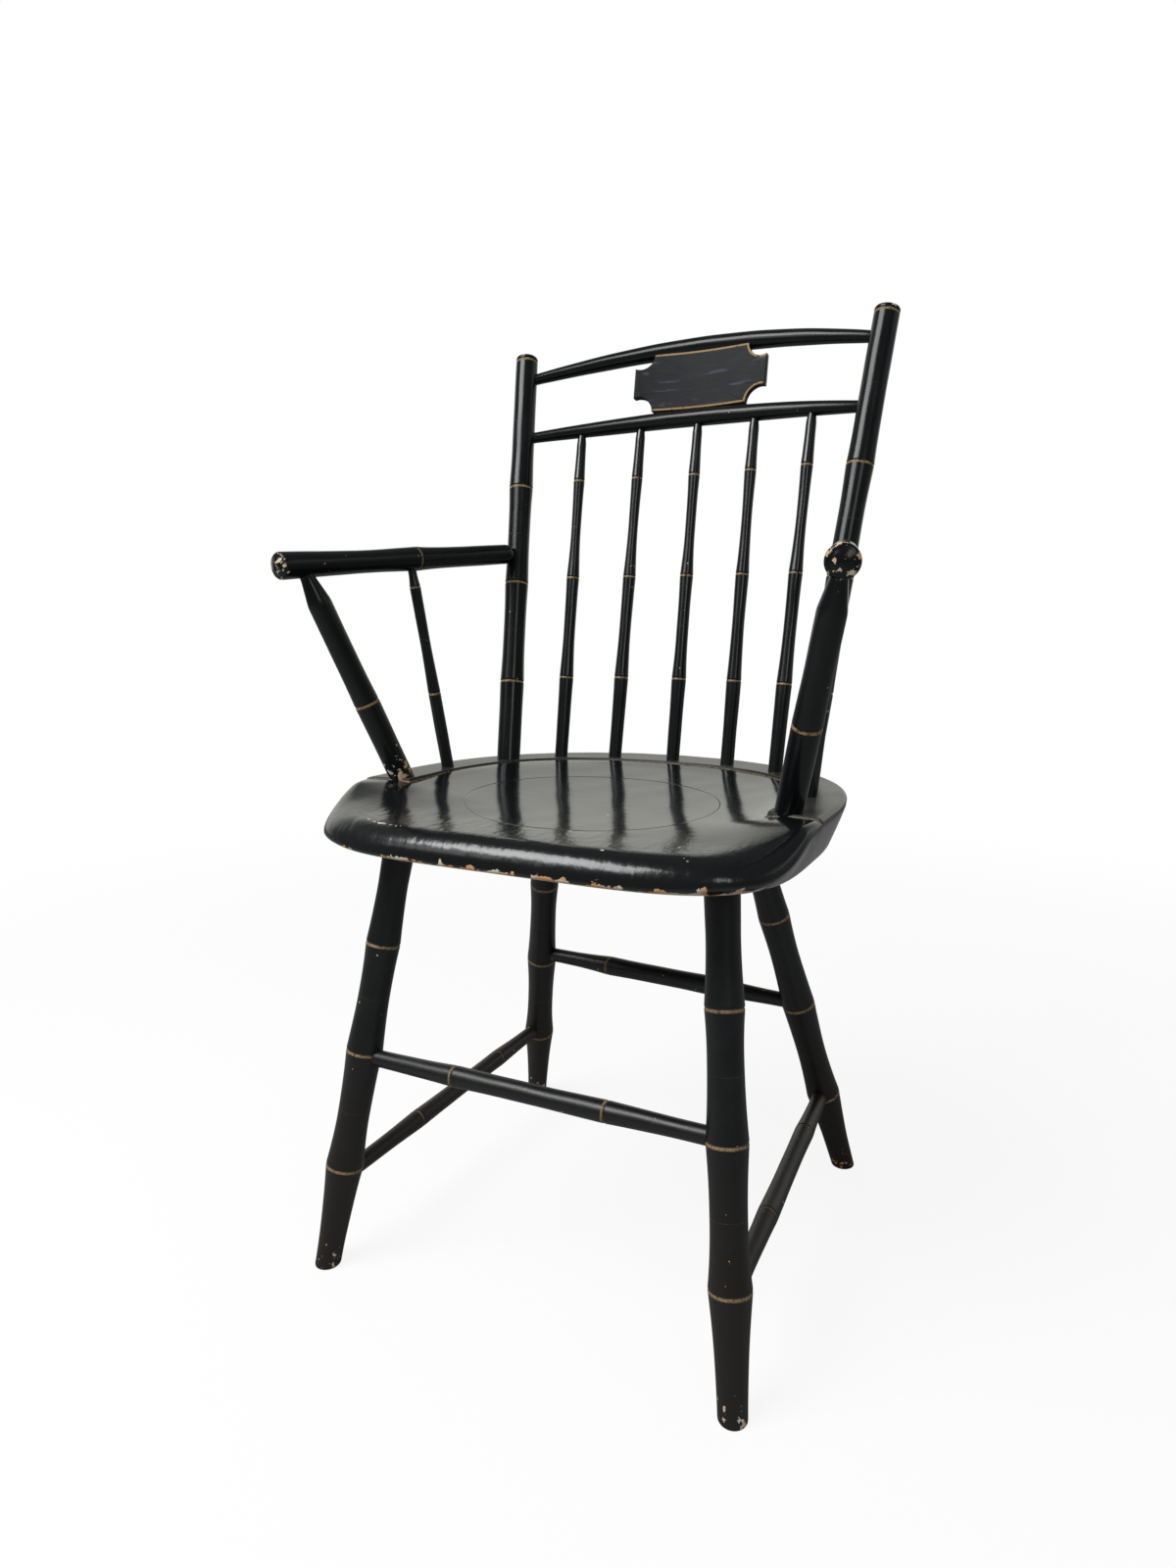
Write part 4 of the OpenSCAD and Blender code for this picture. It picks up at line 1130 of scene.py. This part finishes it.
def turned_paint(kind):
    """Black paint of the turned pieces: ochre ring lines, painted shade in the ring grooves, chips,
    specks and brush marks. The kinds differ in gloss, in the brown of the low legs and in the width
    of the ring lines."""
    if kind in MADE:
        return MADE[kind]
    look = sizes("paint")
    is_leg = kind in LEG_KINDS
    half, shine = TURNED_KINDS[kind]
    tree = Paint(kind + "_paint")
    place = tree.attribute("local", "Vector")
    ring, wear = tree.attribute("ring"), tree.attribute("wear")
    slow = tree.noise(place, 38, 3)
    streak = tree.noise(tree.stretch(place, (1, 1, 0.03)), 380)
    base = look.black
    rough = streak * 0.04 + slow * 0.16 + ((look.leg_gloss if is_leg else look.gloss) - 0.12)
    if is_leg:
        world = tree.add("ShaderNodeTexCoord", {}, None, "Object")
        low = tree.axis(world, "Z").step(0.26, 0.03)
        base = tree.blend(low, base, look.brown)
        rough = rough + low * 0.12
    base = tree.blend(slow.step(0.45, 0.8) * 0.5, base, times(look.black, 2.1))
    # Painted shade: the paint is darkened round each ring, where its groove lies.
    base = tree.blend(abs(ring - 0.4).step(1.0, 0.2) * 0.6, base, times(look.black, 0.35))
    broken = tree.noise(place, 300, 3).step(0.30, 0.46)
    line = abs(ring + 1.0).step(half + 0.25, half - 0.15) * broken
    gilt = tree.blend(tree.noise(place, 700).step(0.3, 0.7), look.gilt, times(look.gilt, 0.45))
    base = tree.blend(line, base, gilt)
    chip = (tree.noise(place, 150, 4, 0.6) + wear * 0.34).step(0.735, 0.75)
    base = tree.blend(chip, base, tree.blend(slow.step(0.4, 0.6), look.wood, look.cream))
    specks = tree.dots(place, 95, 0.10 if is_leg else 0.085, 0.10)
    base = tree.blend(specks * 0.8, base, look.cream)
    relief = streak * 0.02 - chip + line * 0.2 + slow * 0.9
    MADE[kind] = tree.finish(base, rough + chip * 0.4 + line * 0.2, relief, 0.00012, shine)
    return MADE[kind]


def tablet_paint():
    """Slate-black face with lighter grain running across and an ochre line along its border."""
    look = sizes("paint")
    tree = Paint("tablet_paint")
    place = tree.attribute("local", "Vector")
    grain = tree.noise(tree.stretch(place, (0.045, 1, 1)), 520, 4, 0.55)
    brush = tree.noise(tree.stretch(place, (0.12, 1, 1)), 190, 3)
    base = tree.blend(grain.step(0.42, 0.68), times(look.slate, 0.45), times(look.slate, 1.3))
    base = tree.blend(brush.step(0.60, 0.70) * 0.9, base, times(look.slate, 5.5))
    broken = tree.noise(place, 260, 3).step(0.30, 0.44)
    line = abs(tree.attribute("line") - 1.3).step(1.25, 0.85) * broken
    base = tree.blend(line, base, look.gilt)
    rough = grain * 0.25 + tree.noise(place, 30) * 0.1 + 0.3
    return tree.finish(base, rough, grain * 0.5 + brush * 0.8, 0.00015, TABLET_SHINE)


def seat_paint():
    """Glossy black paint of the seat: an ochre line in the gutter that is gilt and in part a
    painted highlight on the groove's far lip, painted shade in the groove, a duller deck and sides,
    chips to bare wood at the front, pale flecks on the crest, a scribed oval darkened with painted
    shade and wavy brush marks."""
    look = sizes("paint")
    tree = Paint("seat_paint")
    place = tree.attribute("local", "Vector")
    gutter, wear, oval, border = (
        tree.attribute(key) for key in ("gutter", "wear", "oval", "border"))
    fore = tree.axis(place, "Y").step(-0.13, -0.19)
    slow = tree.noise(place, 18, 3)
    fine = tree.noise(place, 300, 3)
    grain = tree.noise(tree.stretch(place, (0.12, 1, 1)), 160, 3)
    brush = tree.noise(tree.stretch(place, (1, 0.15, 0.15)), 90, 3)
    ripple = tree.noise(tree.stretch(place, (1, 0.5, 0.5)), 120, 3)
    base = tree.blend(slow.step(0.4, 0.8) * 0.5, look.black, times(look.black, 1.8))
    deck = gutter.step(-0.6, 0.4) * gutter.step(BELOW - 1, BELOW - 2)
    stroke = tree.noise(tree.stretch(place, (0.15, 1, 1)), 150, 3).step(0.66, 0.70)
    base = tree.blend(deck, base, tree.blend(stroke * 0.8, look.deck, look.black))
    broken = tree.noise(place, 220, 3).step(0.34, 0.5)
    seam = abs(gutter + 0.6).step(3.0, 1.4) * (1 - fore)
    # Gilt, and in part a painted highlight: the ochre line stands in for light on the groove's far
    # lip.
    line = abs(gutter + 1.3).step(0.8, 0.4) * broken * (1 - fore)
    base = tree.blend(line, base, times(look.gilt, 0.6))
    # Painted shade: the groove is darkened just inside the deck.
    base = tree.blend(abs(gutter + 0.2).step(0.5, 0.2), base, GUTTER_SHADE)
    # Painted shade: the scribed oval is darkened.
    base = tree.blend(abs(oval).step(0.7, 0.3) * 0.8, base, OVAL_SHADE)
    chip = (tree.noise(place, 75, 5, 0.62) + wear * 0.36).step(0.79, 0.80)
    tone = tree.noise(place, 60).step(0.42, 0.58)
    base = tree.blend(chip, base, tree.blend(tone, look.wood, look.cream))
    crest = abs(border - 7).step(4, 0) * fore * tree.noise(place, 24).step(0.50, 0.60)
    flecks = (tree.noise(tree.stretch(place, (0.6, 1, 1)), 230, 4, 0.6)
              + crest * 0.23).step(0.755, 0.77)
    specks = tree.dots(place, 60, 0.09, 0.06)
    base = tree.blend((specks * 0.8).at_least(flecks), base, look.cream)
    rough = (fine * 0.08 + slow * 0.06 + (look.seat_gloss - 0.07) + (chip + seam) * 0.4
             + deck * 0.22 + fore * 0.07)
    relief = grain * 0.5 + (brush + ripple * 1.6) * fore * 1.8 + fine * 0.12 - chip * 2.0
    return tree.finish(base, rough, relief, 0.00018)


# Stage, panel and registration

IMAGE_W, IMAGE_H = 1200, 1600
FLOOR_HALF = 12.0
AIM = (0, 0, 0.6)
LAMPS = {"window": ((-0.87, -1.03, 1.4), (0.5, 0.9)),
         "side_window": ((1.27, -1.27, 1.35), (0.5, 0.6)),
         "ceiling": ((-0.85, -1.25, 2.2), (1.4, 1.0))}  # place, and width and height, in metres


class CHAIR_OT_stage(Operator):
    """Set the camera, the pale floor and the soft studio light"""
    bl_idname = "chair.stage"
    bl_label = "Stage"

    def camera(self, scene, stage):
        """The photograph's camera: back = (sin a cos e, -cos a cos e, sin e), right = (cos a,
        sin a, 0) and up = back x right, then rolled."""
        data = bpy.data.cameras.new("photo_camera")
        data.sensor_width = 36
        data.lens = stage.focal_px * data.sensor_width / IMAGE_H
        data.shift_x = (IMAGE_W / 2 - stage.centre_px) / IMAGE_H
        data.shift_y = (stage.centre_py - IMAGE_H / 2) / IMAGE_H
        data.clip_start, data.clip_end = 0.02, 100
        a, e, r = stage.azimuth, stage.elevation, stage.roll
        back = Vector((math.sin(a) * math.cos(e), -math.cos(a) * math.cos(e), math.sin(e)))
        right = Vector((math.cos(a), math.sin(a), 0))
        up = back.cross(right)
        right, up = (right * math.cos(r) + up * math.sin(r),
                     up * math.cos(r) - right * math.sin(r))
        place = Matrix((right, up, back)).transposed().to_4x4()
        place.translation = Vector((stage.eye_x, stage.eye_y, stage.eye_z)) * MM
        scene.camera = show("photo_camera", data)
        scene.camera.matrix_world = place

    def lamp(self, name, place, wide, tall, power):
        data = bpy.data.lights.new(name, "AREA")
        data.shape = "RECTANGLE"
        data.size, data.size_y, data.energy = wide, tall, power
        lamp = show(name, data)
        lamp.location = place
        lamp.rotation_euler = (Vector(AIM) - Vector(place)).to_track_quat("-Z", "Y").to_euler()

    def floor(self, stage):
        """A plain pale floor: the camera sees it near white with the chair's shadow, other rays see
        it as it is."""
        mesh = bpy.data.meshes.new("floor")
        h = FLOOR_HALF
        mesh.from_pydata([(-h, -h, 0), (h, -h, 0), (h, h, 0), (-h, h, 0)], [], [(0, 1, 2, 3)])
        floor = show("floor", mesh)
        tree = Paint("floor_paint")
        seen = tree.add("ShaderNodeLightPath", {}, None, "Is Camera Ray")
        place = tree.add("ShaderNodeTexCoord", {}, None, "Object")
        far = tree.add("ShaderNodeVectorMath", {"operation": "LENGTH"}, [place], "Value")
        white_share = stage.whiteness + far.step(0.7, 2.2) * (1 - stage.whiteness)
        plain = tree.add("ShaderNodeBsdfDiffuse", {}, {
            "Color": tree.blend(seen, stage.floor, (0.9, 0.9, 0.9))})
        white = tree.add("ShaderNodeEmission", {}, {"Color": (1, 1, 1), "Strength": 1.0})
        both = tree.add("ShaderNodeMixShader", {}, [seen * white_share, plain, white])
        tree.add("ShaderNodeOutputMaterial", {}, {"Surface": both})
        mesh.materials.append(tree.owner)

    def world(self, scene, stage):
        """The studio: the camera sees white; glossy rays see white behind the chair up to a certain
        height, a dim low band at its sides and a dimmer room above and before it; other light is
        even."""
        scene.world = bpy.data.worlds.new("studio")
        tree = Paint(scene.world)
        way = tree.add("ShaderNodeTexCoord", {}, None, "Generated")
        x, y, z = (tree.axis(way, name) for name in "XYZ")
        ahead = y * math.cos(stage.azimuth) - x * math.sin(stage.azimuth)
        sides = ahead.step(0.7, 0.3) * z.step(0.42, 0.28)
        behind = y.step(-0.15, 0.35) * z.step(0.62, 0.40) * (1 - sides * 0.8)
        room = behind * (stage.back_white - stage.room) + stage.room
        seen, gloss = (tree.add("ShaderNodeLightPath", {}, None, f"Is {kind} Ray")
                       for kind in ("Camera", "Glossy"))
        level = seen + (1 - seen) * (gloss * room + (1 - gloss) * stage.ambient)
        tint = tree.blend(gloss * (1 - seen) * behind, (1.0, 1.0, 1.0), stage.backdrop)
        light = tree.add("ShaderNodeBackground", {}, {"Color": tint, "Strength": level})
        tree.add("ShaderNodeOutputWorld", {}, {"Surface": light})

    def execute(self, context):
        scene = context.scene
        stage = sizes("stage")
        self.camera(scene, stage)
        self.floor(stage)
        self.world(scene, stage)
        for name, (place, (wide, tall)) in LAMPS.items():
            self.lamp(name, place, wide, tall, getattr(stage, name))
        scene.view_settings.view_transform = "Standard"
        return {"FINISHED"}


class CHAIR_PT_sidebar(Panel):
    bl_idname = "CHAIR_PT_sidebar"
    bl_label = "Windsor armchair"
    bl_space_type = "VIEW_3D"
    bl_region_type = "UI"
    bl_category = "Chair"

    def draw(self, context):
        for operator in OPERATORS:
            self.layout.operator(operator.bl_idname)
        for name, group in GROUPS.items():
            box = self.layout.box()
            box.label(text=name.title())
            for key in group.__annotations__:
                box.prop(getattr(context.scene, "chair_" + name), key)


OPERATORS = (CHAIR_OT_seat, CHAIR_OT_legs, CHAIR_OT_stretchers, CHAIR_OT_posts, CHAIR_OT_rails,
             CHAIR_OT_tablet, CHAIR_OT_spindles, CHAIR_OT_arms, CHAIR_OT_stage)
CLASSES = (*GROUPS.values(), *OPERATORS, CHAIR_PT_sidebar)


def register():
    for cls in CLASSES:
        bpy.utils.register_class(cls)
    for name, group in GROUPS.items():
        setattr(bpy.types.Scene, "chair_" + name, PointerProperty(type=group))


def unregister():
    for name in GROUPS:
        delattr(bpy.types.Scene, "chair_" + name)
    for cls in reversed(CLASSES):
        bpy.utils.unregister_class(cls)


def main():
    """Builds every piece and the stage."""
    register()
    for operator in OPERATORS:
        group, name = operator.bl_idname.split(".")
        getattr(getattr(bpy.ops, group), name)()


if __name__ == "__main__":
    main()
